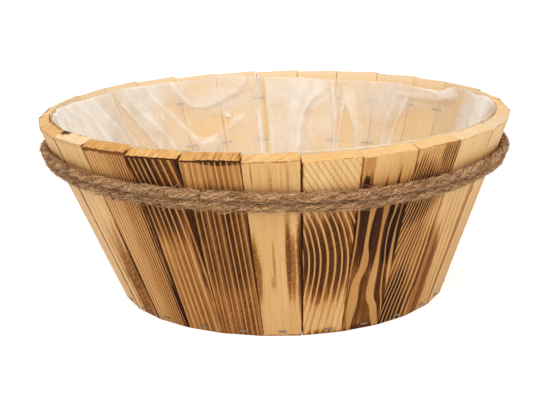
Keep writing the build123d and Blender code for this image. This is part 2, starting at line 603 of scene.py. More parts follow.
# The long faces' fibres, patches and chipped edges
FIBRES = Cloud((1100.0, 26.0, 1100.0), detail=4.0, rough=0.7, shift=5.0)
FACE_PATCHES = Cloud((60.0, 12.0, 60.0), shift=9.0)
EDGE_CHIPS = Cloud((260.0, 90.0, 260.0), detail=4.0, rough=0.7, shift=11.0)

# The sawn ends' pores, patches, chips and torn fibres
PORES = Cloud((1500.0, 1500.0, 1500.0))
END_PATCHES = Cloud((90.0, 90.0, 90.0), shift=2.0)
END_CHIPS = Cloud((420.0, 420.0, 420.0), detail=3.0, shift=4.0)
TORN_FIBRES = Cloud((620.0, 620.0, 90.0), detail=3.0, rough=0.65, shift=6.0)

# How far random patterns move the edge of a flame, of a streak, of the dark edges and of a spot
FINE_SHARE = 0.9
STROKE_SHARE = 3.2
RAGGEDNESS = 0.55
STREAK_STRAY = 1.6
SIDE_CHIPS = 1.6
RIM_CHIPS = 0.03
FOOT_CHIPS = 0.04
SPOT_CHIPS = 1.2
PATCH_SHARE = 0.4
CHIP_SHARE = 0.35
END_SIDE_SHARE = 0.3

# Where soft steps start and end: in shares of a flame's reach, of a ring or of the stave's length
FLAME_FADE = (0.4, 1.3)
SPOT_FADE = (0.4, 1.2)
STREAK_FADE = (-0.45, 0.75)
LINE_FADE = (-0.07, 0.07)
END_LINE_FADE = (0.3, 0.5)
BURNT_LINES = (0.02, 0.6)
YEAR_FADE = (0.3, 0.7)
RIM = (0.987, 0.999)
FOOT = (0.0, 0.02)
LIT_TOP_BAND = (0.93, 0.98)
END_SIDES = (0.94, 1.0)
END_OUTSIDE = (-0.02, 0.1)
END_INSIDE = 1.05
END_INNER_REACH = 0.4

# The same in shares of the stave's thickness, from its outer face inwards
DEPTH_OF_FLAMES = (0.35, 0.8)
DEPTH_OF_EDGES = (0.1, 0.9)
DEPTH_OF_INSIDE = (0.4, 0.9)
DEPTH_OF_LIT_TOP = (0.7, 0.95)

# How dark things are, from 0 to 1, or how many times as dark as elsewhere
FIBRE_TONE = 0.2
PATCH_TONE = 0.2
BURNT_TONE = 0.22
FIBRE_DEPTH = 0.4
STROKE_DEPTH = 2.4
YEAR_STEP = 3.7
YEAR_DEPTHS = (0.8, 1.1)
EDGES_INSIDE = 0.25
INSIDE_RAW_AND_LIT = 0.36
LIT_TOP_SHARE = 0.24
END_LINE_TONE = 0.05
END_LINE_SHARE = 0.3
PORE_TONE = 0.2
TORN_TONE = 0.12
TORN_HONEY = 2.0
HONEY_FADE = (0.2, 0.6)
GREYED_FADE = (0.3, 0.7)

# Steps with the darkness, and what they give for pale and for dark wood
FACE_ROUGHNESS = (0.1, 0.9, 0.5, 0.8)
FACE_SPECULAR = (0.2, 0.7, 0.13, 0.02)
END_ROUGHNESS = 0.68
END_SPECULAR = 0.1

# The relief: how far burnt wood stands back and fibres stand out, its height and its strength
BURNT_RELIEF = -0.8
FIBRE_RELIEF = 0.5
FACE_RELIEF = (0.4 * MM, 0.85)
END_RELIEF = (0.25 * MM, 0.6)

Streak = tuple[Triple, ...]


@dataclass(frozen=True)
class FlamedPine:
    """Pine with its early wood burnt dark and brushed back, so that its late wood stands pale.

    A streak is a pale line of late wood that has its own course: shares of the board's length, with
    the line's place across the board and half its width there, in millimetres. An end spot is a
    dark place on the sawn top, in shares of the half width and of the thickness. Tones and edges
    run from 0, the palest wood, to 1, charred.
    """

    rings: Rings = Rings()
    flames: tuple[Flame, ...] = ()
    streaks: tuple[Streak, ...] = ()
    strokes: float = 0.25
    tone: float = 0.08
    end_tone: float = 0.07
    end_lines: float = 1.0
    honey: float = 0.0
    greyed: float = 0.0
    end_spots: tuple[Flame, ...] = ()
    left_edge: float = 0.45
    right_edge: float = 0.45
    edge_reach: float = 0.05
    rim_edge: float = 0.5
    foot_edge: float = 0.5
    inner_edge: float = 0.25
    seed: float = 0.0


class PineGraph(Graph):
    """The nodes of one board of flamed pine.

    The grain is a place in the board in metres. Across, up and inward are shares of the board's
    half width, of its length, and of its thickness from the outer face.
    """

    def __init__(self, name: str, look: FlamedPine) -> None:
        """Start the board's material.

        Args:
            name: The material's name.
            look: What the board looks like.
        """
        super().__init__(name)
        self.look = look
        self.grain = self.own("grain")
        self.across, self.up, self.inward = self.own("share").split()

    def pattern(self, cloud: Cloud, angle: float = 0.0) -> Value:
        """This board's own part of a random pattern.

        Args:
            cloud: The pattern.
            angle: How far it is turned on the board's face, in radians.

        Returns:
            The pattern's value, about 0.
        """
        grain = self.turned(self.grain, (0.0, 0.0, 1.0), angle) if angle else self.grain
        return self.cloud(grain, cloud, self.look.seed) - 0.5

    def by_number(self, number: Value) -> Value:
        """A random value that changes with one number alone, about 0.5."""
        return self.noise(self.join(number, self.look.seed, 0.0), detail=0.0)

    def darkest(self, flames: Sequence[Flame], along: Value, ragged: Value, fade: Pair) -> Value:
        """How dark some flames have burnt the board.

        Args:
            flames: The flames.
            along: The share that they call up.
            ragged: What is added to how far a point lies from a flame.
            fade: Where in its reach a flame starts to fade, and where it ends.

        Returns:
            The darkness, from 0 to 1.
        """
        found = along * 0.0
        for flame in flames:
            away = flame.apart(self.across, along) + ragged
            found = found.larger(away.rise(*fade, flame.depth, 0.0))
        return found

    def phase(self) -> Value:
        """Where each point lies among the rings.

        Returns:
            How many rings lie between the point and the tree's heart.
        """
        rings = self.look.rings
        across, _, depth = self.grain.split()
        aside = self.pattern(RING_WANDER) * (2 * rings.wobble) + across + depth * rings.lean
        if rings.course:
            aside = aside - self.curve(self.up, rings.course) * MM
        if rings.spread:
            aside = aside / self.curve(self.up, rings.spread)
        if rings.widening:
            aside = aside * (aside * -rings.widening + 1.0)
        aside = aside - rings.heart_across
        behind = depth + rings.heart_depth
        distance = (aside * aside + behind * behind).root()
        years = self.by_number(distance * rings.year_waves)
        return distance * (1 / rings.spacing) + years * rings.uneven

    def outside_streaks(self) -> Value:
        """Where the pale streaks are.

        Returns:
            0 on the streaks and 1 away from them.
        """
        across, _, _ = self.grain.split()
        across = across * (1 / MM) + self.pattern(STREAK_WANDER) * STREAK_STRAY
        found = across * 0.0 + 1.0
        for streak in self.look.streaks:
            middle = self.curve(self.up, [(place, aside) for place, aside, _ in streak])
            half = self.curve(self.up, [(place, wide) for place, _, wide in streak])
            found = found.smaller((abs(across - middle) - half).rise(*STREAK_FADE))
        return found

    def scorch(self) -> Value:
        """How dark the flames have burnt the stave, with ends feathered along the grain.

        Returns:
            The darkness, from 0 to 1.
        """
        strokes = self.pattern(STROKES, STROKE_ANGLE) * self.look.strokes
        ragged = self.pattern(FINE_STREAKS) * FINE_SHARE + self.pattern(CLUMPS)
        ragged = (ragged + strokes * STROKE_SHARE) * RAGGEDNESS
        burnt = self.darkest(self.look.flames, self.up, ragged, FLAME_FADE)
        burnt = burnt * (strokes * STROKE_DEPTH + 1.0)
        outside = self.inward.rise(*DEPTH_OF_FLAMES, 1.0, 0.0)
        return (burnt * outside).larger(0.0).smaller(1.0)

    def edges(self) -> Value:
        """How dark the flame has left the stave's edges.

        Returns:
            The darkness, from 0 to 1.
        """
        look, reach = self.look, self.look.edge_reach
        chips = self.pattern(EDGE_CHIPS)
        aside = self.across + chips * (reach * SIDE_CHIPS)
        left = aside.rise(-1.0, reach - 1.0, look.left_edge, 0.0)
        right = aside.rise(1.0 - reach, 1.0, 0.0, look.right_edge)
        rim = (self.up + chips * RIM_CHIPS).rise(*RIM, 0.0, look.rim_edge)
        foot = (self.up + chips * FOOT_CHIPS).rise(*FOOT, look.foot_edge, 0.0)
        dark = left.larger(right).larger(rim).larger(foot)
        return dark * self.inward.rise(*DEPTH_OF_EDGES, 1.0, EDGES_INSIDE)

    def face(self) -> bpy.types.Material:
        """The finish of a stave's long faces.

        Returns:
            The material.
        """
        look, rings = self.look, self.look.rings
        phase, burnt = self.phase(), self.scorch()
        if look.streaks:
            band = self.outside_streaks()
        else:
            pale, charred = 0.5 - 0.5 * rings.line_share, 0.5 * rings.light_share
            late = burnt.rise(*BURNT_LINES, pale, charred)
            band = (abs(phase.fraction() - 0.5) - late).rise(*LINE_FADE)
        fibres, patches = self.pattern(FIBRES), self.pattern(FACE_PATCHES)
        raw = fibres * FIBRE_TONE + patches * PATCH_TONE + look.tone + burnt * BURNT_TONE
        year = self.by_number(phase.whole() * YEAR_STEP).rise(*YEAR_FADE, *YEAR_DEPTHS)
        depth = burnt.larger(rings.line_depth) * year + fibres * FIBRE_DEPTH
        dark = (raw + band * (depth - raw)).larger(self.edges())
        # The inner faces are paler: partly the raw pine that the flame left, partly painted light
        # that makes up for the shade inside the bowl
        dark = dark * self.inward.rise(*DEPTH_OF_INSIDE, 1.0, INSIDE_RAW_AND_LIT)
        # Painted light: under the rim the inner faces pale towards near-white, where the light
        # falls on them
        lit_top = self.up.rise(*LIT_TOP_BAND, 0.0, LIT_TOP_SHARE)
        lit_top = lit_top * self.inward.rise(*DEPTH_OF_LIT_TOP)
        height = band * burnt * BURNT_RELIEF + fibres * FIBRE_RELIEF
        return self.surface(
            Base_Color=self.blend(lit_top, self.shades(dark, WOOD_SHADES), LIT_TOP_TINT),
            Roughness=dark.rise(*FACE_ROUGHNESS),
            Specular_IOR_Level=dark.rise(*FACE_SPECULAR),
            Normal=self.relief(height, *FACE_RELIEF),
        )

    def end(self) -> bpy.types.Material:
        """The finish of a stave's sawn ends.

        Returns:
            The material.
        """
        look = self.look
        lines = (END_LINE_TONE + END_LINE_SHARE * look.rings.line_depth) * look.end_lines
        late = abs(self.phase().fraction() - 0.5).rise(*END_LINE_FADE, 0.0, lines)
        pores, chips = self.pattern(PORES), self.pattern(END_CHIPS)
        patches, torn = self.pattern(END_PATCHES), self.pattern(TORN_FIBRES)
        uneven = patches * PATCH_SHARE + chips * CHIP_SHARE
        aside, deep = self.across + uneven * END_SIDE_SHARE, self.inward + uneven
        inner = END_INSIDE - END_INNER_REACH * look.inner_edge
        outside = deep.rise(*END_OUTSIDE, look.rim_edge, 0.0)
        inside = deep.rise(inner, END_INSIDE, 0.0, look.inner_edge)
        left = (aside * -1.0).rise(*END_SIDES, 0.0, look.left_edge)
        right = aside.rise(*END_SIDES, 0.0, look.right_edge)
        spots = self.darkest(look.end_spots, self.inward, chips * SPOT_CHIPS, SPOT_FADE)
        dark = late + look.end_tone + pores * PORE_TONE + patches * PATCH_TONE
        dark = dark + torn * (TORN_TONE + TORN_HONEY * look.honey)
        for darker in (outside, inside, left, right, spots):
            dark = dark.larger(darker)
        tint = self.shades(dark, WOOD_SHADES)
        tint = self.blend(dark.rise(*HONEY_FADE, look.honey, 0.0), tint, HONEY)
        tint = self.blend(dark.rise(*GREYED_FADE, look.greyed, 0.0), tint, GREYED)
        return self.surface(
            Base_Color=tint,
            Roughness=END_ROUGHNESS,
            Specular_IOR_Level=END_SPECULAR,
            Normal=self.relief(pores + chips, *END_RELIEF),
        )


LOOKS: dict[Look, FlamedPine] = {
    Look.PLAIN: FlamedPine(
        Rings(spacing=6.5 * MM, line_depth=0.16), (Flame(0.5, 0.2, 0.5, 0.3, 0.35),)
    ),
    Look.FINE: FlamedPine(
        Rings(spacing=2.6 * MM, light_share=0.45), (Flame(0.2, 0.4, 1.8, 0.6, 0.5),)
    ),
    Look.BANDED: FlamedPine(
        Rings(
            spacing=3.6 * MM, course=((0, 0), (1, -12)), light_share=0.34, line_depth=0.36,
            line_share=0.3,
        ),
        (Flame(0.0, 0.8, 2.6, 0.7, 0.86), Flame(0.0, 0.1, 2.6, 0.4, 0.62)),
        tone=0.14, honey=0.5,
    ),
    Look.FLAMED: FlamedPine(
        Rings(spacing=4.8 * MM, course=((0, -14), (0.5, 0), (1, -18))),
        (Flame(0.1, 0.48, 2.0, 0.36, 0.85), Flame(0.0, 0.0, 1.5, 0.06, 0.5)),
    ),
    Look.CATHEDRAL: FlamedPine(
        Rings(
            spacing=5.5 * MM, heart_across=-4 * MM, heart_depth=16 * MM,
            course=((0, -12), (1, 12)), wobble=2.4 * MM,
        ),
        (Flame(-0.2, 0.45, 1.8, 0.46, 0.9),),
    ),
}

FRONT_LOOKS: dict[int, FlamedPine] = {
    1: FlamedPine(
        Rings(
            spacing=12.0 * MM, line_share=0.3, line_depth=0.17, light_share=-0.3, wobble=0.8 * MM
        ),
        (
            Flame(-0.95, 0.41, 0.34, 0.24, 0.50),
            Flame(-0.16, 0.46, 0.08, 0.16, 0.44),
            Flame(-0.24, 0.33, 0.16, 0.07, 0.40),
            Flame(0.46, 0.46, 0.16, 0.30, 0.74),
            Flame(0.62, 0.40, 0.20, 0.24, 0.58),
            Flame(1.02, 0.44, 0.26, 0.36, 0.95),
            Flame(-0.08, 0.9, 0.10, 0.12, 0.36),
            Flame(0.30, 0.9, 0.06, 0.12, 0.28),
            Flame(0.52, 0.9, 0.08, 0.12, 0.36),
            Flame(-0.70, 0.93, 0.05, 0.09, 0.34),
        ),
        strokes=0.6, tone=0.15, end_tone=0.14, left_edge=0.5, right_edge=0.8, edge_reach=0.08,
    ),
    2: FlamedPine(
        Rings(
            spacing=4.85 * MM, light_share=0.3, line_share=0.2, line_depth=0.3,
            wobble=0.6 * MM, uneven=0.7,
            course=(
                (0.0, -3.4), (0.09, -0.8), (0.27, 4.0), (0.43, 5.7), (0.56, 3.0), (0.72, -5.8),
                (0.84, -16.3), (1.0, -31.5),
            ),
        ),
        (
            Flame(0.2, 0.47, 2.4, 0.34, 0.73),
            Flame(-1.02, 0.47, 0.13, 0.46, 0.95),
            Flame(1.02, 0.50, 0.20, 0.30, 0.90),
            Flame(1.05, 0.12, 0.14, 0.22, 0.85),
            Flame(0.0, -0.01, 1.5, 0.05, 0.55),
        ),
        tone=0.09, end_tone=0.13, end_lines=0.3, left_edge=0.85, right_edge=0.6, edge_reach=0.1,
    ),
    3: FlamedPine(
        Rings(spacing=9.0 * MM, wobble=3.0 * MM, uneven=2.0, line_depth=0.26),
        (
            Flame(0.0, 0.60, 2.4, 0.34, 1.0),
            Flame(0.3, 0.20, 2.4, 0.30, 0.72),
            Flame(-0.72, 0.93, 0.35, 0.12, 0.38),
            Flame(-0.78, 0.86, 0.15, 0.045, 1.0),
            Flame(0.55, 0.83, 0.6, 0.05, 0.6),
            Flame(-0.2, -0.01, 1.4, 0.08, 0.8),
        ),
        streaks=(
            (
                (0.0, -17.5, 0.3), (0.30, -17.6, 0.3), (0.43, -17.3, 0.5), (0.57, -17.8, 0.8),
                (0.73, -19.5, 0.8),
            ),
            (
                (0.0, -11.0, 1.2), (0.06, -11.7, 2.3), (0.16, -11.3, 3.9), (0.27, -11.6, 3.6),
                (0.41, -7.0, 3.3), (0.55, -8.3, 1.6), (0.71, -7.2, 2.5), (0.85, -6.0, 5.0),
                (1.0, -5.0, 7.0),
            ),
            (
                (0.0, 12.4, 1.6), (0.13, 7.7, 3.2), (0.25, 2.7, 3.2), (0.40, 3.5, 2.2),
                (0.54, 3.1, 1.2), (0.70, 4.0, 2.5), (0.85, 5.0, 4.0), (1.0, 6.0, 5.0),
            ),
            (
                (0.0, 17.5, 0.5), (0.12, 15.2, 0.5), (0.24, 12.1, 0.6), (0.39, 10.7, 0.5),
                (0.53, 9.2, 0.6), (0.69, 11.9, 1.0), (0.85, 14.0, 3.0), (1.0, 15.0, 4.0),
            ),
            (
                (0.0, 21.0, 0.8), (0.25, 17.3, 1.2), (0.38, 15.7, 1.3), (0.53, 15.4, 1.0),
                (0.69, 16.9, 0.5), (1.0, 20.0, 1.0),
            ),
        ),
        tone=0.14, end_tone=0.12, end_lines=0.3, greyed=0.1, left_edge=0.7, right_edge=0.5,
    ),
    4: FlamedPine(
        Rings(
            spacing=2.9 * MM, light_share=0.4, line_share=0.24, wobble=0.7 * MM, line_depth=0.36,
            course=(
                (0.0, -8.0), (0.12, -5.6), (0.24, -2.2), (0.39, 0.3), (0.54, 3.9), (0.70, 7.5),
                (1.0, 12.0),
            ),
            spread=((0.0, 1.7), (0.24, 1.6), (0.39, 1.5), (0.54, 1.2), (0.70, 1.0), (1.0, 0.9)),
        ),
        (
            Flame(-0.5, 0.74, 1.4, 0.26, 0.92),
            Flame(-0.5, 0.06, 1.6, 0.36, 1.0),
            Flame(0.8, 0.9, 0.8, 0.14, 0.75),
            Flame(-0.4, 0.42, 2.0, 0.4, 0.6),
            Flame(0.8, 0.3, 0.6, 0.4, 0.62),
        ),
        tone=0.14, end_tone=0.1, end_lines=0.5, greyed=0.1, left_edge=0.7, right_edge=0.6,
    ),
    5: FlamedPine(
        Rings(spacing=7.0 * MM, line_depth=0.15, light_share=-0.3),
        (
            Flame(0.0, 0.34, 2.6, 0.56, 0.27),
            Flame(-0.7, 0.2, 0.9, 0.46, 0.56),
            Flame(1.0, 0.35, 0.3, 0.5, 0.45),
        ),
        strokes=0.1, tone=0.08, end_lines=0.5, greyed=0.3, left_edge=0.6, right_edge=0.4,
    ),
    6: FlamedPine(
        Rings(spacing=9.0 * MM, line_depth=0.3, line_share=0.08),
        (
            Flame(-0.7, 0.66, 0.12, 0.025, 0.8),
            Flame(0.0, 0.3, 2.6, 0.5, 0.26),
            Flame(-1.0, 0.45, 0.25, 0.5, 0.42),
        ),
        strokes=0.1, tone=0.1, end_lines=0.6, greyed=0.45,
    ),
    7: FlamedPine(
        Rings(spacing=6.0 * MM, line_depth=0.2), (Flame(0.0, 0.2, 1.6, 0.3, 0.26),),
        tone=0.1, greyed=0.3,
    ),
    22: FlamedPine(
        Rings(spacing=6.0 * MM, line_depth=0.16),
        end_spots=(Flame(-0.3, 0.0, 0.9, 0.42, 0.66),), tone=0.12, end_tone=0.0, inner_edge=0.5,
    ),
    23: FlamedPine(
        Rings(spacing=6.0 * MM, line_depth=0.16),
        tone=0.14, end_tone=0.12, end_lines=0.4, inner_edge=0.8,
    ),
    24: FlamedPine(
        Rings(spacing=9.0 * MM, line_depth=0.2, line_share=0.06),
        tone=0.15, end_tone=0.17, end_lines=0.3, right_edge=0.9, edge_reach=0.09,
        rim_edge=0.3, inner_edge=0.6,
    ),
    25: FlamedPine(
        Rings(
            spacing=10.5 * MM, line_depth=0.34, line_share=0.09, light_share=-0.3, wobble=0.6 * MM
        ),
        (
            Flame(0.3, 0.20, 0.85, 0.36, 0.62),
            Flame(0.4, 0.42, 0.4, 0.18, 0.50),
            Flame(-1.02, 0.4, 0.14, 0.8, 0.90),
            Flame(1.05, 0.25, 0.3, 0.6, 0.90),
        ),
        end_spots=(Flame(-0.74, 0.88, 0.42, 0.46, 0.85),), strokes=0.6,
        tone=0.1, end_tone=0.04, end_lines=0.2, greyed=0.3,
        left_edge=0.9, right_edge=0.85, rim_edge=0.2, inner_edge=0.6,
    ),
    26: FlamedPine(
        Rings(
            spacing=3.0 * MM, light_share=0.42, line_share=0.5, wobble=0.9 * MM, line_depth=0.42,
            uneven=0.8,
        ),
        (
            Flame(0.5, 0.5, 0.9, 1.1, 0.57),
            Flame(1.05, 0.55, 0.4, 0.9, 0.80),
            Flame(1.0, 0.1, 0.4, 0.4, 0.95),
        ),
        tone=0.18, end_tone=0.2, honey=0.5, left_edge=0.7, right_edge=0.8, rim_edge=0.6,
    ),
    27: FlamedPine(
        Rings(
            spacing=4.9 * MM, widening=9.0, lean=0.5, wobble=0.4 * MM, uneven=0.5,
            light_share=0.32, line_depth=0.44, line_share=0.4,
            course=(
                (0.0, 0.4), (0.26, 0.0), (0.55, -1.0), (0.73, -2.6), (0.87, -6.0), (1.0, -9.4),
            ),
        ),
        (
            Flame(0.0, 0.95, 3.0, 0.56, 0.83),
            Flame(0.9, 0.66, 0.34, 0.5, 1.0),
            Flame(-1.0, 0.45, 0.26, 0.9, 0.82),
            Flame(0.3, 0.25, 2.0, 0.50, 0.49),
        ),
        tone=0.18, end_tone=0.14, end_lines=0.8, honey=0.4,
        left_edge=0.85, right_edge=0.8, edge_reach=0.08, rim_edge=0.8,
    ),
    28: FlamedPine(
        Rings(
            spacing=4.4 * MM, spread=((0.0, 0.93), (0.7, 1.0), (1.0, 1.0)), light_share=0.3,
            line_share=0.4, lean=0.2, wobble=0.5 * MM, line_depth=0.46, uneven=0.6,
        ),
        (
            Flame(0.0, 0.55, 2.6, 0.42, 0.75),
            Flame(0.0, 0.10, 2.6, 0.40, 0.57),
            Flame(-0.95, 0.66, 0.35, 0.2, 0.95),
            Flame(0.3, 1.0, 1.1, 0.03, 0.9),
            Flame(1.02, 0.4, 0.2, 0.4, 0.95),
            Flame(0.0, 0.9, 2.6, 0.2, 0.42),
        ),
        tone=0.2, end_tone=0.22, end_lines=0.5, honey=0.6,
        left_edge=0.7, right_edge=0.85, rim_edge=0.8,
    ),
}

FIRST_BACK_STAVE = 8
BACK_LOOKS: tuple[Look, ...] = (
    Look.FINE, Look.FLAMED, Look.BANDED, Look.PLAIN, Look.CATHEDRAL, Look.PLAIN, Look.FLAMED,
    Look.PLAIN, Look.PLAIN, Look.FLAMED, Look.FINE, Look.PLAIN, Look.CATHEDRAL, Look.BANDED,
)


@dataclass
class StaveRing:
    """The bowl's wall: staves mitred side by side, level at the foot and sawn square at the top."""

    plan: BowlPlan
    blank_width: float = 3.0
    blank_length: float = 2.0
    edge_radius: float = 0.6 * MM
    edge_segments: int = 2
    cuts_across: int = 5
    cuts_up: int = 14
    surface_wave: float = 0.16 * MM
    side_wave: float = 0.12 * MM
    waves_per_metre: Triple = (60.0, 22.0, 60.0)
    side_pattern: Triple = (0.0, 40.0, 0.0)
    wave_step: float = 3.7
    look_step: float = 7.3
    sharp: float = math.radians(40)
    end_facing: float = 0.8

    def look(self, number: int) -> FlamedPine:
        """The finish of one stave, with a pattern of its own.

        Args:
            number: The stave's number, from 1.

        Returns:
            The finish.
        """
        chosen = FRONT_LOOKS.get(number) or LOOKS[BACK_LOOKS[number - FIRST_BACK_STAVE]]
        return replace(chosen, seed=number * self.look_step)

    def board(self, number: int, frame_here: Matrix) -> bmesh.types.BMesh:
        """One stave in its own axes, sawn from a board and cut into a net of faces.

        Args:
            number: The stave's place in the ring, from 0.
            frame_here: Its own axes in the row's frame.

        Returns:
            The mesh.
        """
        plan = self.plan
        bm = bmesh.new()
        bmesh.ops.create_cube(bm, size=1.0)
        wide = plan.half_width(number, plan.height) * self.blank_width
        long = plan.height * self.blank_length
        bmesh.ops.scale(bm, vec=(wide, long, plan.thickness), verts=bm.verts)
        bmesh.ops.translate(bm, vec=(0, plan.height / 2, -plan.thickness / 2), verts=bm.verts)
        planes = [
            plan.seam_plane(number, 1),
            plan.seam_plane(number + 1, -1),
            (Vector((0, 0, 0)), Vector((0, 0, -1))),
        ]
        inward = frame_here.inverted()
        for point, normal in planes:
            self.cut(bm, inward @ point, inward.to_3x3() @ normal, True)
        top = plan.height + plan.top_unevenness * plan.height_shares[number]
        upward = Vector((0, 1, 0))
        self.cut(bm, upward * (top / frame_here.col[1].z), upward, True)
        for face in bm.faces:
            face.material_index = int(abs(face.normal.y) > self.end_facing)
        length = plan.height / math.cos(plan.tilt)
        for step in range(1, self.cuts_up):
            self.cut(bm, Vector((0, length * step / self.cuts_up, 0)), upward, False)
        half = plan.half_width(number, plan.height / 2)
        for step in range(1, self.cuts_across):
            aside = half * (2 * step / self.cuts_across - 1)
            self.cut(bm, Vector((aside, 0, 0)), Vector((1, 0, 0)), False)
        return bm

    @staticmethod
    def cut(bm: bmesh.types.BMesh, point: Vector, normal: Vector, saw: bool) -> None:
        """Cut the mesh by a plane.

        Args:
            bm: The mesh.
            point: A point on the plane.
            normal: The plane's normal.
            saw: Whether what lies on the normal's side falls off and the cut is closed.
        """
        everything = bm.verts[:] + bm.edges[:] + bm.faces[:]
        result = bmesh.ops.bisect_plane(
            bm, geom=everything, plane_co=point, plane_no=normal, clear_outer=saw
        )
        if saw:
            edges = [item for item in result["geom_cut"] if isinstance(item, bmesh.types.BMEdge)]
            bmesh.ops.contextual_create(bm, geom=edges)

    def weathered(self, bm: bmesh.types.BMesh, seed: float) -> None:
        """Give the board the slight waves of brushed wood and round its edges.

        Args:
            bm: The board's mesh.
            seed: Where in the random pattern it lies.
        """
        bm.normal_update()
        across, along, deep = self.waves_per_metre
        for vert in bm.verts:
            spot = Vector((vert.co.x * across + seed, vert.co.y * along, vert.co.z * deep))
            vert.co.z += noise.noise(spot) * self.surface_wave
            vert.co.x += noise.noise(spot + Vector(self.side_pattern)) * self.side_wave
        edges = [edge for edge in bm.edges if edge.calc_face_angle(0) > self.sharp]
        bmesh.ops.bevel(
            bm, geom=edges, offset=self.edge_radius, offset_type="OFFSET", profile=0.5,
            segments=self.edge_segments, affect="EDGES", clamp_overlap=True, material=-1,
        )

    def carry_grain(self, bm: bmesh.types.BMesh, number: int) -> None:
        """Store each point's place in the board, in metres and in shares of the board.

        Args:
            bm: The board's mesh.
            number: The stave's place in the ring, from 0.
        """
        plan = self.plan
        grain = bm.verts.layers.float_vector.new("grain")
        share = bm.verts.layers.float_vector.new("share")
        length = plan.height / math.cos(plan.tilt)
        foot, top = plan.half_width(number, 0), plan.half_width(number, plan.height)
        for vert in bm.verts:
            up = vert.co.y / length
            vert[grain] = vert.co
            vert[share] = (vert.co.x / (foot + (top - foot) * up), up, -vert.co.z / plan.thickness)

    def build(self) -> list[bpy.types.Object]:
        """Build and dress every stave.

        Returns:
            The staves.
        """
        pieces = []
        for number in range(self.plan.count):
            node = f"stave_{number + 1:02d}"
            axes = self.plan.stave_frame(number)
            bm = self.board(number, axes)
            self.weathered(bm, number * self.wave_step)
            self.carry_grain(bm, number)
            bmesh.ops.transform(bm, matrix=axes, verts=bm.verts)
            look = self.look(number + 1)
            face = PineGraph(f"{node}_face", look).face()
            end = PineGraph(f"{node}_end", look).end()
            piece = finished(bm, f"pine_{node}", [face, end])
            even_normals(piece)
            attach(piece, BODY)
            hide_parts(node)
            pieces.append(piece)
        LOG.info("staves: %d", len(pieces))
        return pieces


JUTE_FIBRES = Cloud((1700.0, 1700.0, 170.0), detail=4.0, rough=0.7)
JUTE_CROSSED = Cloud((1500.0, 1500.0, 140.0), detail=3.0, shift=3.0)
JUTE_TUFTS = Cloud((380.0, 380.0, 75.0), detail=3.0, shift=5.0)


@dataclass(frozen=True)
class Jute:
    """Twisted jute: dull brown fibres with pale and dark ones among them, and painted shade in the
    grooves.

    The relief is its height in metres and its strength, as in the finishes below.
    """

    pale: Colour = colour(224, 184, 138)
    middle: Colour = colour(170, 119, 70)
    dark: Colour = colour(80, 47, 23)
    # The colour of the shade painted into the grooves between the strands
    groove_shade: Colour = colour(62, 39, 22)
    places: Triple = (0.43, 0.49, 0.55)
    shares: Triple = (0.42, 0.38, 0.2)
    crossing: float = 0.45
    groove_shade_fade: Pair = (0.6, 0.9)
    groove_shade_share: float = 0.62
    raggedness: float = 0.3
    relief: Pair = (1.5 * MM, 1.0)

    def material(self, name: str) -> bpy.types.Material:
        """The finish of the rope.

        Args:
            name: The material's name.

        Returns:
            The material.
        """
        graph = Graph(name)
        lay = graph.own("lay")
        outward, _, _ = graph.own("depth").split()
        fibres = graph.cloud(lay, JUTE_FIBRES)
        crossed = graph.cloud(graph.turned(lay, (1.0, 1.0, 0.0), self.crossing), JUTE_CROSSED)
        tufts = graph.cloud(lay, JUTE_TUFTS)
        straight, slanting, tufted = self.shares
        mixed = fibres * straight + crossed * slanting + tufts * tufted
        tint = graph.shades(mixed, tuple(zip(self.places, (self.dark, self.middle, self.pale))))
        # Painted shade: the colour darkens away from the rope's outside, into the grooves between
        # the strands
        ragged = outward + (tufts - 0.5) * self.raggedness
        groove_shaded = ragged.rise(*self.groove_shade_fade, self.groove_shade_share, 0.0)
        return graph.surface(
            Base_Color=graph.blend(groove_shaded, tint, self.groove_shade),
            Roughness=0.92,
            Specular_IOR_Level=0.1,
            Sheen_Weight=0.08,
            Sheen_Roughness=0.6,
            Normal=graph.relief(mixed, *self.relief),
        )


@dataclass(frozen=True)
class Fuzz:
    """Loose fibres that stand off the rope. A pair is the least and the most that chance gives.

    The last three numbers say which part of the rope's pattern colours each fibre.
    """

    seed: int = 11
    count: int = 8192
    bends: int = 2
    length: float = 13.0 * MM
    least_length: float = 0.35
    more_length: float = 0.5
    loose_length: float = 0.5
    width: float = 0.5 * MM
    least_width: float = 0.3
    tip: float = 0.4
    side: Pair = (-1.9, 1.9)
    root: Pair = (0.88, 0.99)
    slope: Pair = (-0.5, 0.6)
    curl: Pair = (-0.25, 0.05)
    sweep: Pair = (-0.3, 0.3)
    rarity: float = 2.4
    lift: float = 0.06
    loose_lift: float = 0.6
    loose_curl: float = 0.5
    tint_step: float = 0.01
    tint_place: float = 0.3
    tint_spread: float = 0.1


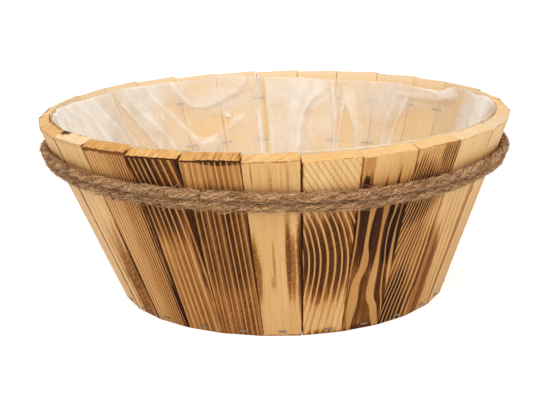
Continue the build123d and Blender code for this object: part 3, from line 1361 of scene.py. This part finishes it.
@dataclass
class Rope:
    """Jute rope of three strands, wound twice round the staves under the rim.

    The sag is how far it strays from level, in millimetres, at angles round the bowl. Waves are
    counted along one metre, and each strand has its own step in their patterns.
    """

    plan: BowlPlan
    fuzz: Fuzz = Fuzz()
    diameter: float = 7.6 * MM
    gap: float = 0.6 * MM
    clearance: float = 0.3 * MM
    drop: float = 30.5 * MM
    start_angle: float = 90.0
    turns: int = 2
    strands: int = 3
    strand_share: float = 0.68
    lay_length: float = 48.0 * MM
    slack: float = 0.25
    slack_waves: float = 16.0
    slack_pattern: float = 4.0
    swelling: float = 0.1
    swelling_waves: float = 60.0
    swelling_step: float = 9.1
    lumps: float = 0.24
    fine_lumps: float = 0.18
    lump_waves: float = 210.0
    lump_turn: float = 1.9
    lump_step: float = 7.0
    lump_fineness: float = 2.7
    fibre_twist: float = 0.6
    fibre_step: float = 0.37
    sides: int = 12
    steps_per_turn: int = 520
    sag: Points = (
        (90, 0.0), (180, 1.5), (212, 2.0), (232, 0.8), (252, 0.6),
        (288, -1.8), (305, -0.6), (330, 1.8), (400, 0.4), (450, 0.0),
    )

    @property
    def step(self) -> float:
        """How much lower each turn lies than the one above it."""
        return (self.diameter + self.gap) * math.cos(self.plan.tilt)

    @property
    def strand_radius(self) -> float:
        """Radius of one strand, pressed somewhat into the others."""
        return self.diameter / 2 * self.strand_share

    def length_at(self, turn: float) -> float:
        """How long the rope is after this many turns."""
        return turn * FULL_TURN * self.plan.rim_radius

    def centre(self, turn: float) -> tuple[Vector, float]:
        """The rope's centre line.

        Args:
            turn: How many turns have been made.

        Returns:
            The point, and the angle round the bowl.
        """
        plan = self.plan
        angle = self.start_angle + 360 * turn
        height = plan.height - self.drop + self.step * (1 - turn) + eased(angle, self.sag) * MM
        stand = (self.diameter / 2 + self.clearance) / math.cos(plan.tilt)
        return plan.middle_at(height) + plan.around(angle) * (plan.radius_at(height) + stand), angle

    def strand_point(self, turn: float, around: float, strand: int) -> tuple[Vector, float]:
        """A point on a strand's skin.

        Args:
            turn: How many turns have been made.
            around: The share of the way round the strand.
            strand: The strand's number.

        Returns:
            The point, and how near it lies to the rope's outside, from 0 to 1.
        """
        centre, angle = self.centre(turn)
        out, up = self.plan.wall_normal(angle), self.plan.wall_up(angle)
        length = self.length_at(turn)
        waves = noise.noise(Vector((length * self.slack_waves, self.slack_pattern, 0.0)))
        laid = length / self.lay_length + strand / self.strands + self.slack * waves
        twist = FULL_TURN * laid
        spot = Vector((length * self.swelling_waves, strand * self.swelling_step, 0.0))
        radius = self.strand_radius * (1 + self.swelling * noise.noise(spot))
        reach = self.diameter / 2 - self.strand_radius
        middle = (out * math.cos(twist) + up * math.sin(twist)) * reach
        turned = around * FULL_TURN
        spot = Vector((
            math.cos(turned) * self.lump_turn,
            math.sin(turned) * self.lump_turn + strand * self.lump_step,
            length * self.lump_waves,
        ))
        fine = noise.noise(spot * self.lump_fineness)
        skin = radius * (1 + self.lumps * noise.noise(spot) + self.fine_lumps * fine)
        offset = middle + (out * math.cos(turned) + up * math.sin(turned)) * skin
        return centre + offset, offset.length / (self.diameter / 2)

    def strand(self, number: int) -> bmesh.types.BMesh:
        """One strand as a closed tube.

        Args:
            number: The strand's number.

        Returns:
            The mesh, which carries the fibres' own twist and each point's nearness to the outside.
        """

        def shape(first: float, second: float) -> tuple[Vector, dict[str, Vector]]:
            """Where a point of the tube lies, and what it carries.

            Args:
                first: The share of the way along the rope.
                second: The share of the way round the strand.

            Returns:
                The point, with its place among the fibres and its nearness to the outside.
            """
            point, outward = self.strand_point(first * self.turns, second, number)
            length = self.length_at(first * self.turns)
            twist = length / self.lay_length * self.fibre_twist
            turned = (second - twist + number * self.fibre_step) * FULL_TURN
            lay = Vector((math.cos(turned), math.sin(turned), 0)) * self.strand_radius
            lay = lay + Vector((0, 0, length + number))
            return point, {"lay": lay, "depth": Vector((outward, 0, 0))}

        bm = wrapped_grid(self.turns * self.steps_per_turn, self.sides, shape, ("lay", "depth"))
        open_edges = [edge for edge in bm.edges if edge.is_boundary]
        bmesh.ops.holes_fill(bm, edges=open_edges)
        bmesh.ops.recalc_face_normals(bm, faces=bm.faces)
        return bm

    def fibre(self, draw: random.Random) -> Callable[[Vector], Vector]:
        """The bend of one loose fibre that stands off the rope.

        Args:
            draw: The source of the fibres' random sizes.

        Returns:
            What moves a point of an upright rod of length and width 1 to its place.
        """
        plan, fuzz = self.plan, self.fuzz
        centre, angle = self.centre(draw.uniform(0.0, self.turns))
        out, up, run = plan.wall_normal(angle), plan.wall_up(angle), plan.along(angle)
        side = draw.uniform(*fuzz.side)
        away = out * math.cos(side) + up * math.sin(side)
        around = up * math.cos(side) - out * math.sin(side)
        start = centre + away * (self.diameter / 2 * draw.uniform(*fuzz.root))
        loose = draw.random() ** fuzz.rarity
        share = fuzz.least_length + fuzz.more_length * draw.random() + fuzz.loose_length * loose
        length = fuzz.length * share
        way = run * draw.choice((-1, 1)) + around * draw.uniform(*fuzz.slope)
        way = way + away * (fuzz.lift + fuzz.loose_lift * loose)
        way.normalize()
        curl = away * (draw.uniform(*fuzz.curl) - fuzz.loose_curl * loose)
        curl = curl + around * draw.uniform(*fuzz.sweep)
        thick = fuzz.least_width + (1 - fuzz.least_width) * draw.random() ** 2
        across = way.orthogonal().normalized() * (fuzz.width * thick)
        beside = way.cross(across)

        def place(point: Vector) -> Vector:
            """Bend the upright rod.

            Args:
                point: A point of the rod.

            Returns:
                Where it goes.
            """
            share = point.z + 0.5
            line = start + way * (length * share) + curl * (length * share * share)
            return line + across * point.x + beside * point.y

        return place

    def fibres(self) -> bmesh.types.BMesh:
        """Loose fibres that stand off the rope.

        Returns:
            The mesh: copies of one upright rod, made side by side and then each bent into place.
        """
        fuzz = self.fuzz
        draw = random.Random(fuzz.seed)
        bm = bmesh.new()
        lay = bm.verts.layers.float_vector.new("lay")
        depth = bm.verts.layers.float_vector.new("depth")
        bmesh.ops.create_cone(
            bm, cap_ends=True, segments=3, radius1=0.5, radius2=0.5 * fuzz.tip, depth=1.0
        )
        upright = [edge for edge in bm.edges if edge.verts[0].co.z * edge.verts[1].co.z < 0]
        bmesh.ops.subdivide_edges(bm, edges=upright, cuts=fuzz.bends)
        count = 1
        while count < fuzz.count:
            copied = bmesh.ops.duplicate(bm, geom=bm.verts[:] + bm.edges[:] + bm.faces[:])["geom"]
            fresh = [item for item in copied if isinstance(item, bmesh.types.BMVert)]
            bmesh.ops.translate(bm, vec=(count * 2, 0, 0), verts=fresh)
            count *= 2
        bends = [self.fibre(draw) for _ in range(fuzz.count)]
        shades = [draw.uniform(0.0, 1.0) for _ in range(fuzz.count)]
        for vert in bm.verts:
            number = round(vert.co.x / 2)
            spot = Vector((shades[number], number * fuzz.tint_step, fuzz.tint_place))
            vert[lay] = spot * fuzz.tint_spread
            vert[depth] = Vector((1.0, 0, 0))
            vert.co = bends[number](vert.co - Vector((number * 2, 0, 0)))
        return bm

    def build(self) -> list[bpy.types.Object]:
        """Build and dress the rope and its loose fibres.

        Returns:
            The pieces.
        """
        jute = Jute().material("jute")
        whole = bmesh.new()
        for number in range(self.strands):
            part = self.strand(number)
            mesh = bpy.data.meshes.new("strand")
            part.to_mesh(mesh)
            part.free()
            whole.from_mesh(mesh)
            bpy.data.meshes.remove(mesh)
        rope = finished(whole, "jute_rope", [jute])
        fuzz = finished(self.fibres(), "jute_fibres", [jute])
        for piece in (rope, fuzz):
            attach(piece, BODY)
        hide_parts("rope")
        LOG.info("rope: %d strands, %d fibres", self.strands, self.fuzz.count)
        return [rope, fuzz]


FILM_HAZE = Cloud((30.0, 30.0, 18.0))
FILM_CRINKLES = Cloud((120.0, 120.0, 60.0), detail=3.0, rough=0.6)


@dataclass(frozen=True)
class Film:
    """Thin milky film with a gloss, through which the wood shows, with highlights and sheen painted
    into its haze.
    """

    tint: Colour = colour(255, 245, 230)
    edge_highlight: Colour = colour(255, 232, 200)
    cover: float = 0.175
    least_cover: float = 0.05
    most_cover: float = 0.92
    haze_cover: float = 0.45
    crest_highlight_cover: float = 0.3
    hair_cover: float = 0.16
    edge_highlight_cover: float = 0.6
    hairs_per_metre: Triple = (70.0, 70.0, 38.0)
    hair_width: float = 0.05
    hair_fade: Pair = (0.45, 0.65)
    relief: Pair = (0.8 * MM, 0.5)

    def material(self, name: str) -> bpy.types.Material:
        """The finish of the liner.

        Args:
            name: The material's name.

        Returns:
            The material.
        """
        graph = Graph(name)
        place = graph.own("place")
        crest_highlight, milky_sheen, edge = graph.own("haze").split()
        haze = graph.cloud(place, FILM_HAZE)
        spot = graph.stretched(place, self.hairs_per_metre)
        cells = graph.result("TexVoronoi", {"Vector": spot}, feature="DISTANCE_TO_EDGE")
        hairs = cells.rise(0.0, self.hair_width, 1.0, 0.0) * haze.rise(*self.hair_fade)
        # Painted highlight: the haze rises along the folds' crests
        cover = (haze - 0.5) * self.haze_cover + self.cover + crest_highlight * self.crest_highlight_cover
        # Painted sheen: the milky patches whiten the film
        cover = cover + hairs * self.hair_cover + milky_sheen + edge * self.edge_highlight_cover
        # Painted highlight: along its edge the film is paler and more opaque
        return graph.surface(
            Base_Color=graph.blend(edge, self.tint, self.edge_highlight),
            Roughness=0.25,
            Specular_IOR_Level=0.6,
            Alpha=cover.smaller(self.most_cover).larger(self.least_cover),
            Normal=graph.relief(graph.cloud(place, FILM_CRINKLES), *self.relief),
        )


@dataclass(frozen=True)
class Fold:
    """A pleat in the film, steep along a line of wall places and flattening out beside it.

    The places are angles in degrees and heights in millimetres, and so are the depth and the width.
    A negative width flattens out to the right, seen from the middle along the line's way.
    """

    points: Points
    depth: float
    width: float


@dataclass(frozen=True)
class Patch:
    """A round place on the bowl's inner wall, in degrees and millimetres, that fades to its rim."""

    angle: float
    height: float
    reach_angle: float
    reach_height: float
    strength: float

    def felt(self, angle: float, height: float) -> float:
        """How strongly it is felt at a place of the wall.

        Args:
            angle: The angle round the bowl.
            height: The height in metres.

        Returns:
            Its strength there.
        """
        aside = ((angle - self.angle + 180) % 360 - 180) / self.reach_angle
        above = (height / MM - self.height) / self.reach_height
        return self.strength * max(0.0, 1 - aside * aside - above * above)


@dataclass(frozen=True)
class HiddenFolds:
    """Folds that the front hides. A pair is the least and the most that chance gives."""

    seed: int = 5
    angles: Pair = (184.0, 350.0)
    step: float = 11.5
    step_shares: Pair = (0.6, 1.3)
    lean: Pair = (-7.0, 7.0)
    bend: float = 0.4
    top: Pair = (138.0, 152.0)
    drop: float = 30.0
    foot: float = 50.0
    depth: Pair = (2.0, 4.5)
    width: Pair = (9.0, 20.0)

    def drawn(self) -> list[Fold]:
        """Lay out these folds.

        Returns:
            The folds, in order round the bowl.
        """
        draw = random.Random(self.seed)
        folds = []
        angle, last = self.angles
        while angle < last:
            lean = draw.uniform(*self.lean)
            top = draw.uniform(*self.top)
            points = (
                (angle + lean, top),
                (angle + lean * self.bend, top - self.drop),
                (angle - lean * self.bend, self.foot),
            )
            depth = draw.uniform(*self.depth)
            folds.append(Fold(points, depth, draw.choice((-1, 1)) * draw.uniform(*self.width)))
            angle += self.step * draw.uniform(*self.step_shares)
        return folds


SEEN_FOLDS = (
    Fold(((92.5, 152), (92.4, 128), (92.1, 104), (91.6, 30)), 3.6, -26.0),
    Fold(
        (
            (123, 152), (121, 139), (118.4, 129), (113.3, 126.5), (107.9, 131), (102.6, 138),
            (99, 148),
        ),
        1.8, -12.0,
    ),
    Fold(((126, 125), (122, 108), (117.8, 94), (112.9, 98), (107.8, 104), (102, 115)), 2.0, 18.0),
    Fold(((82.6, 70), (81.6, 100), (80.2, 119), (77.6, 130), (74.4, 137)), 1.8, -18.0),
    Fold(((70.5, 140), (69.1, 110), (69.0, 50)), 2.8, 14.0),
    Fold(((66.5, 131), (67.5, 105), (68.8, 60)), 1.5, 8.0),
    Fold(((66.5, 131), (64.4, 118), (61.5, 102), (60, 60)), 2.0, -12.0),
    Fold(((48.8, 140), (50.3, 119), (51.4, 90), (52, 40)), 1.8, -12.0),
    Fold(((44.0, 138), (46.1, 116), (47.7, 96), (48.5, 40)), 1.8, 9.0),
    Fold(((47.5, 141), (39.6, 141), (31.0, 142), (22.6, 148)), 1.6, 10.0),
    Fold(((42.4, 150), (34.2, 148), (24.4, 144)), 1.4, -7.0),
    Fold(((146.8, 152), (146.5, 131), (143, 100), (140, 60)), 2.2, 20.0),
    Fold(((143.4, 140), (139.0, 118), (134.3, 97), (130, 50)), 1.7, -14.0),
    Fold(((140.3, 143), (134.4, 121), (129.0, 99), (125, 50)), 1.9, -10.0),
    Fold(((131.5, 144), (127.7, 127), (122.1, 108)), 1.6, -14.0),
    Fold(((173.4, 151), (169.1, 140), (164.3, 119), (158, 60)), 1.9, -16.0),
    Fold(((165.1, 151), (160.0, 136), (155.7, 113), (150, 60)), 1.7, -14.0),
    Fold(((155.3, 151), (152.2, 134), (148.1, 118), (143, 60)), 1.5, 14.0),
)

# Where the film spans from stave to stave, with how far it stands off the wall in millimetres
BRIDGES = (
    Patch(176, 110, 26, 60, 2.5),
    Patch(6, 110, 18, 50, 2.0),
    Patch(317, 104, 42, 44, 6.5),
    Patch(240, 120, 22, 60, 5.0),
    Patch(118, 96, 10, 24, 4.0),
    Patch(76, 100, 6, 50, 3.0),
    Patch(36, 146, 14, 10, 3.0),
    Patch(104, 144, 8, 12, 2.0),
)

# Where it is milkier, or clearer, than elsewhere: painted sheen for the light that the film
# scatters where it stands off the wall
MILKY_SHEEN_PLACES = (
    Patch(168, 130, 22, 70, 0.75),
    Patch(190, 136, 16, 60, 0.55),
    Patch(133, 150, 18, 20, 0.36),
    Patch(134, 126, 6, 18, 0.26),
    Patch(110, 132, 14, 14, 0.20),
    Patch(112, 107, 10, 11, -0.28),
    Patch(114, 86, 6, 14, 0.36),
    Patch(82, 138, 12, 22, 0.40),
    Patch(84, 96, 9, 34, 0.22),
    Patch(93.6, 100, 0.8, 60, -0.30),
    Patch(95.3, 90, 1.1, 58, 0.30),
    Patch(106, 117, 1.4, 2.6, 0.6),
    Patch(54, 134, 15, 24, 0.26),
    Patch(40, 110, 12, 24, -0.25),
    Patch(66, 104, 4, 20, -0.25),
    Patch(5, 130, 15, 60, 0.80),
    Patch(34, 151, 12, 8, 0.45),
    Patch(300, 120, 60, 60, 0.20),
    Patch(230, 120, 50, 60, 0.20),
)

# Where the highlight painted along its edge is strongest
EDGE_GLEAM = Patch(315, 152, 55, 60, 0.8)


@dataclass
class Liner:
    """A round of film pressed into the bowl, with the folds that this gives it.

    The edges are its heights in millimetres at angles round the bowl. The highlight painted along
    the film's edge covers one part of the wall out of so many edge parts. A fold is felt within its
    reach in degrees.
    """

    plan: BowlPlan
    hidden: HiddenFolds = HiddenFolds()
    film: float = 0.12 * MM
    stand_off: float = 0.7 * MM
    corner: float = 12.0 * MM
    floor_height: float = 9.6 * MM
    floor_wave: float = 0.8 * MM
    floor_waves: float = 4.6
    floor_pattern: float = 6.0
    floor_fineness: float = 1.3
    floor_milky: float = 0.2
    edges: Points = (
        (0, 156.8), (7, 156.4), (12, 154.4), (20, 156.0), (26, 154.6), (31, 149.0), (42, 149.6),
        (75, 149.4), (92, 151.6), (98, 152.0), (102, 155.3), (109, 155.4), (113, 152.6),
        (140, 153.2), (158, 152.4), (166, 154.6), (180, 156.4), (225, 156.6), (262, 156.4),
        (277, 157.0), (335, 157.3), (360, 156.8),
    )
    edge_wave: float = 0.6 * MM
    fine_edge_wave: float = 0.4 * MM
    edge_parts: float = 60.0
    edge_waves: float = 2.2
    edge_pattern: float = 7.0
    edge_fineness: Pair = (2.0, 8.0)
    edge_highlight: float = 0.4
    steep: float = 3.0
    fold_reach: float = 14.0
    fold_power: float = 1.3
    crest_power: int = 4
    flank_share: float = 0.35
    columns: int = 610
    rows: int = 78
    wall_share: float = 0.82
    crumple: float = 1.5 * MM
    crumple_size: float = 24.0 * MM
    crumple_shares: Pair = (1.0, 0.4)
    crumple_stretch: float = 0.6
    crumple_middle: float = 0.3
    cut_across: float = 0.56

    def __post_init__(self) -> None:
        """Lay out the folds, with those of the hidden side spaced at random."""
        self.folds = [*SEEN_FOLDS, *self.hidden.drawn()]

    def inner_wall(self, height: float) -> float:
        """How far the staves' flat inner faces stand from the bowl's middle.

        Args:
            height: The height in metres.

        Returns:
            The distance in metres.
        """
        plan = self.plan
        half = math.radians(180 * max(plan.width_shares) / sum(plan.width_shares))
        return plan.radius_at(height) * math.cos(half) - plan.thickness / math.cos(plan.tilt)

    def crumpled(self, point: Vector) -> float:
        """What small flat facets do to the film.

        Args:
            point: A point of the wall.

        Returns:
            How far they draw it inwards, in metres.
        """
        drawn = 0.0
        for share in self.crumple_shares:
            size = self.crumple_size * share
            spot = Vector((point.x, point.y, point.z * self.crumple_stretch)) / size
            distances, _ = noise.voronoi(spot, distance_metric="MANHATTAN")
            drawn += share * (distances[0] - self.crumple_middle)
        return self.crumple * drawn

    def creased(self, angle: float, height: float) -> tuple[float, float]:
        """What the folds do to the film at a place of the wall.

        Args:
            angle: The angle round the bowl.
            height: The height in metres.

        Returns:
            How far they draw it inwards in metres, and how near the place lies to a crest, up to 1.
        """
        inward, nearness = 0.0, 0.0
        around = self.plan.radius_at(height) * math.radians(1) / MM
        level = height / MM
        for fold in self.folds:
            for (angle_a, height_a), (angle_b, height_b) in zip(fold.points, fold.points[1:]):
                aside = (angle - angle_a + 180) % 360 - 180
                if abs(aside) > self.fold_reach:
                    continue
                run, rise = (angle_b - angle_a) * around, height_b - height_a
                px, py = aside * around, level - height_a
                share = min(1.0, max(0.0, (px * run + py * rise) / (run * run + rise * rise)))
                away = math.hypot(px - run * share, py - rise * share)
                flat = (run * py - rise * px) * fold.width > 0
                near = 1 - away / (abs(fold.width) if flat else self.steep)
                if near > 0:
                    inward = max(inward, fold.depth * MM * near**self.fold_power)
                    # How near a place lies to a crest paints a highlight along the fold into the
                    # film's haze
                    crest = max(near**self.crest_power, self.flank_share * near) if flat else near
                    nearness = max(nearness, crest)
        return inward, nearness

    def edge(self, angle: float) -> float:
        """Where the film ends.

        Args:
            angle: The angle round the bowl.

        Returns:
            The height of its edge there, in metres.
        """
        turned = math.radians(angle)
        across, along = math.cos(turned) * self.edge_waves, math.sin(turned) * self.edge_waves
        spot = Vector((across, along, self.edge_pattern))
        coarse, fine = (noise.noise(spot * fineness) for fineness in self.edge_fineness)
        wave = self.edge_wave * coarse + self.fine_edge_wave * fine
        return eased(angle, self.edges) * MM + wave

    def shape(self, first: float, second: float) -> tuple[Vector, dict[str, Vector]]:
        """Where a point of the film lies, and what it carries.

        Args:
            first: The share of the way round.
            second: The share of the way from the middle of the floor to the edge.

        Returns:
            The point, with its place on the sheet and the reasons for its haze.
        """
        angle, bend = 360 * first, 1 - self.wall_share
        if second <= bend:
            point, haze = self.floor_point(angle, second, second / bend)
        else:
            point, haze = self.wall_point(angle, (second - bend) / (1 - bend))
        return point, {"place": point, "haze": haze}

    def floor_point(self, angle: float, second: float, share: float) -> tuple[Vector, Vector]:
        """A point of the film's floor.

        Args:
            angle: The angle round the bowl.
            second: The share of the way from the middle of the floor to the edge of the film.
            share: The share of the way from the middle of the floor to the floor's own rim.

        Returns:
            The point, and the reasons for its haze.
        """
        plan = self.plan
        turned = math.radians(angle)
        spot = Vector((
            math.cos(turned) * self.floor_waves,
            math.sin(turned) * self.floor_waves,
            second * self.floor_pattern,
        ))
        wave = max(0.0, noise.noise(spot * self.floor_fineness * share))
        height = self.floor_height + self.floor_wave * wave * (1 - share**4)
        radius = (self.inner_wall(self.floor_height) - self.stand_off - self.corner) * share
        point = plan.middle_at(height) + plan.around(angle) * radius
        return point, Vector((0, self.floor_milky, 0))

    def wall_point(self, angle: float, up: float) -> tuple[Vector, Vector]:
        """A point of the film on the bowl's wall.

        Args:
            angle: The angle round the bowl.
            up: The share of the way from the floor to the film's edge.

        Returns:
            The point, and the reasons for its haze.
        """
        plan = self.plan
        height = self.floor_height + (self.edge(angle) - self.floor_height) * up
        radius = self.inner_wall(height) - self.stand_off
        inward, nearness = self.creased(angle, height)
        inward += max(patch.felt(angle, height) for patch in BRIDGES) * MM
        inward += self.crumpled(plan.middle_at(height) + plan.around(angle) * radius)
        free = min(1.0, (height - self.floor_height) / self.corner)
        radius -= max(0.0, inward) * free
        radius -= self.corner * (1 - math.sqrt(max(0.0, 1 - (1 - free) ** 2)))
        # Painted highlight along the film's top edge, strongest where EDGE_GLEAM lies
        gleam = self.edge_highlight + EDGE_GLEAM.felt(angle, height)
        edge = max(0.0, 1 - (1 - up) * self.edge_parts) * gleam
        # Painted sheen: milkier where the film stands off the wall, clearer where it lies on the
        # wood
        milky_sheen = sum(patch.felt(angle, height) for patch in MILKY_SHEEN_PLACES)
        point = plan.middle_at(height) + plan.around(angle) * radius
        return point, Vector((nearness, milky_sheen, edge))

    def build(self) -> bpy.types.Object:
        """Build and dress the liner.

        Returns:
            The liner.
        """
        bm = wrapped_grid(self.columns, self.rows, self.shape, ("haze", "place"))
        bmesh.ops.recalc_face_normals(bm, faces=bm.faces)
        piece = finished(bm, "film_liner", [Film().material("film")])
        wall = piece.modifiers.new("film", "SOLIDIFY")
        wall.thickness = self.film
        wall.offset = 0
        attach(piece, BODY)
        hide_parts("liner")
        LOG.info("liner: %d folds", len(self.folds))
        return piece


WIRE_DULL = Cloud((900.0, 900.0, 900.0))
PLY_RINGS = Cloud((30.0, 3.0, 8.0))
PLY_FIBRES = Cloud((900.0, 30.0, 900.0), detail=3.0)


@dataclass(frozen=True)
class StapleWire:
    """Galvanised wire, dulled and a little scratched."""

    tint: Colour
    dull_tint: Colour = colour(110, 92, 74)
    dull_fade: Pair = (0.4, 0.7)
    dull_share: float = 0.5
    rough_fade: Pair = (0.3, 0.7)
    bright_roughness: float = 0.32
    dull_roughness: float = 0.6
    relief: Pair = (0.05 * MM, 0.4)

    def material(self, name: str) -> bpy.types.Material:
        """The finish of the staples.

        Args:
            name: The material's name.

        Returns:
            The material.
        """
        graph = Graph(name)
        dull = graph.cloud(graph.place(), WIRE_DULL)
        share = dull.rise(*self.dull_fade, 0.0, self.dull_share)
        return graph.surface(
            Base_Color=graph.blend(share, self.tint, self.dull_tint),
            Metallic=0.85,
            Roughness=dull.rise(*self.rough_fade, self.bright_roughness, self.dull_roughness),
            Normal=graph.relief(dull, *self.relief),
        )


@dataclass(frozen=True)
class Plywood:
    """Raw plywood face with a few broad rings."""

    rings: float = 14.0
    ring_fade: Pair = (0.55, 1.0)
    ring_depth: float = 0.24
    fibre_depth: float = 0.25
    tone: float = 0.08
    relief: Pair = (0.2 * MM, 0.5)

    def material(self, name: str) -> bpy.types.Material:
        """The finish of the base board.

        Args:
            name: The material's name.

        Returns:
            The material.
        """
        graph = Graph(name)
        place = graph.place()
        phase = (graph.cloud(place, PLY_RINGS) * self.rings).fraction()
        late = phase.rise(*self.ring_fade, 0.0, self.ring_depth)
        fibres = graph.cloud(place, PLY_FIBRES)
        dark = late + self.tone + (fibres - 0.5) * self.fibre_depth
        return graph.surface(
            Base_Color=graph.shades(dark, WOOD_SHADES),
            Roughness=0.72,
            Specular_IOR_Level=0.3,
            Normal=graph.relief(fibres, *self.relief),
        )


@dataclass
class Fittings:
    """The base board and the staples, whose solids are right as they stand."""

    staple_tints: tuple[tuple[str, Colour], ...] = (
        ("base_staples", colour(134, 124, 112)),
        ("joint_staples_upper", colour(168, 158, 146)),
        ("joint_staples_lower", colour(168, 158, 146)),
        ("rope_staples", colour(126, 102, 78)),
    )

    def dress(self) -> None:
        """Give the board and the staples their finishes."""
        for node, tint in self.staple_tints:
            self.paint(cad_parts[node], StapleWire(tint).material(f"{node}_wire"))
        self.paint(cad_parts["base_board"], Plywood().material("plywood"))
        LOG.info("fittings: base board and %d rows of staples", len(self.staple_tints))

    @staticmethod
    def paint(node: bpy.types.Object, material: bpy.types.Material) -> None:
        """Put one material on a solid."""
        node.data.materials.clear()
        node.data.materials.append(material)


@dataclass(frozen=True)
class Lamp:
    """A soft square lamp that points at the bowl, its size in metres and its power in watts."""

    name: str
    place: Triple
    size: float
    power: float

    def add(self, aim: Vector) -> None:
        """Add it to the scene.

        Args:
            aim: The point that it lights.
        """
        data = bpy.data.lights.new(self.name, "AREA")
        data.size = self.size
        data.energy = self.power
        lamp = bpy.data.objects.new(self.name, data)
        lamp.location = self.place
        lamp.rotation_euler = (aim - Vector(self.place)).to_track_quat("-Z", "Y").to_euler()
        bpy.context.scene.collection.objects.link(lamp)


@dataclass
class Studio:
    """A white table and plain soft light, with the camera where the photograph was taken."""

    aim: Triple = (-6.19 * MM, 0.0, 66.16 * MM)
    distance: float = 1009.2 * MM
    pitch: float = 15.428
    roll: float = -1.231
    focal_pixels: float = 1147.7
    picture_width: float = 550.0
    sensor: float = 36.0
    farthest: float = 50.0
    floor_size: float = 14.0
    floor_tint: Colour = (0.86, 0.86, 0.86)
    floor_glow: float = 0.58
    white: Colour = (1.0, 1.0, 1.0)
    world_light: float = 0.55
    backdrop: float = 1.0
    lamps: tuple[Lamp, ...] = (
        Lamp("key", (-0.8, -1.5, 1.5), 1.4, 16.0),
        Lamp("fill", (1.2, -1.3, 1.1), 1.4, 9.5),
        Lamp("top", (0.0, -0.3, 2.0), 1.8, 13.0),
    )

    def camera(self) -> None:
        """Set up the camera."""
        pitch, roll = math.radians(self.pitch), math.radians(self.roll)
        ahead = Vector((0, math.cos(pitch), -math.sin(pitch)))
        right = Vector((1, 0, 0))
        up = right.cross(ahead)
        turned_right = right * math.cos(roll) + up * math.sin(roll)
        turned_up = up * math.cos(roll) - right * math.sin(roll)
        axes = Matrix((turned_right, turned_up, -ahead)).transposed().to_4x4()
        axes.translation = Vector(self.aim) - ahead * self.distance
        data = bpy.data.cameras.new("camera")
        data.sensor_fit = "HORIZONTAL"
        data.sensor_width = self.sensor
        data.lens = self.focal_pixels * self.sensor / self.picture_width
        data.clip_end = self.farthest
        camera = bpy.data.objects.new("camera", data)
        camera.matrix_world = axes
        bpy.context.scene.collection.objects.link(camera)
        bpy.context.scene.camera = camera

    @staticmethod
    def seen(tree: bpy.types.NodeTree) -> bpy.types.NodeSocket:
        """Tell what the camera sees, also in a mirror or through glass, from what only lights.

        Args:
            tree: Where the nodes are added.

        Returns:
            1 for what it sees, and 0 for what only lights.
        """
        path = tree.nodes.new("ShaderNodeLightPath")
        found = path.outputs["Is Camera Ray"]
        for other in ("Is Glossy Ray", "Is Transmission Ray"):
            larger = tree.nodes.new("ShaderNodeMath")
            larger.operation = "MAXIMUM"
            tree.links.new(found, larger.inputs[0])
            tree.links.new(path.outputs[other], larger.inputs[1])
            found = larger.outputs[0]
        return found

    def floor(self) -> None:
        """Add the table, white to the camera, which keeps the bowl's shadow."""
        graph = Graph("table")
        material = graph.surface(
            Base_Color=self.floor_tint,
            Roughness=0.9,
            Specular_IOR_Level=0.0,
            Emission_Color=self.white,
            Emission_Strength=Value(graph, self.seen(graph.tree)) * self.floor_glow,
        )
        bm = bmesh.new()
        bmesh.ops.create_grid(bm, x_segments=1, y_segments=1, size=self.floor_size / 2)
        finished(bm, "table", [material])

    def world(self) -> None:
        """Light the scene evenly, with a white backdrop for what the eye sees."""
        world = bpy.data.worlds.new("studio")
        world.use_nodes = True
        bpy.context.scene.world = world
        tree = world.node_tree
        tree.nodes.clear()
        mixed = tree.nodes.new("ShaderNodeMixShader")
        tree.links.new(self.seen(tree), mixed.inputs[0])
        for place, strength in enumerate((self.world_light, self.backdrop), start=1):
            sky = tree.nodes.new("ShaderNodeBackground")
            sky.inputs[0].default_value = (*self.white, 1.0)
            sky.inputs[1].default_value = strength
            tree.links.new(sky.outputs[0], mixed.inputs[place])
        output = tree.nodes.new("ShaderNodeOutputWorld")
        tree.links.new(mixed.outputs[0], output.inputs[0])

    def build(self) -> None:
        """Build the whole studio."""
        self.camera()
        self.floor()
        self.world()
        for lamp in self.lamps:
            lamp.add(Vector(self.aim))
        bpy.context.scene.view_settings.view_transform = "Standard"
        LOG.info("studio: camera, table and lamps")


def main() -> None:
    """Build every piece in order."""
    logging.basicConfig(level=logging.INFO, format="%(message)s")
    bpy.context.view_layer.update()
    plan = BowlPlan()
    Studio().build()
    StaveRing(plan).build()
    Rope(plan).build()
    Liner(plan).build()
    Fittings().dress()


if __name__ == "__main__":
    main()
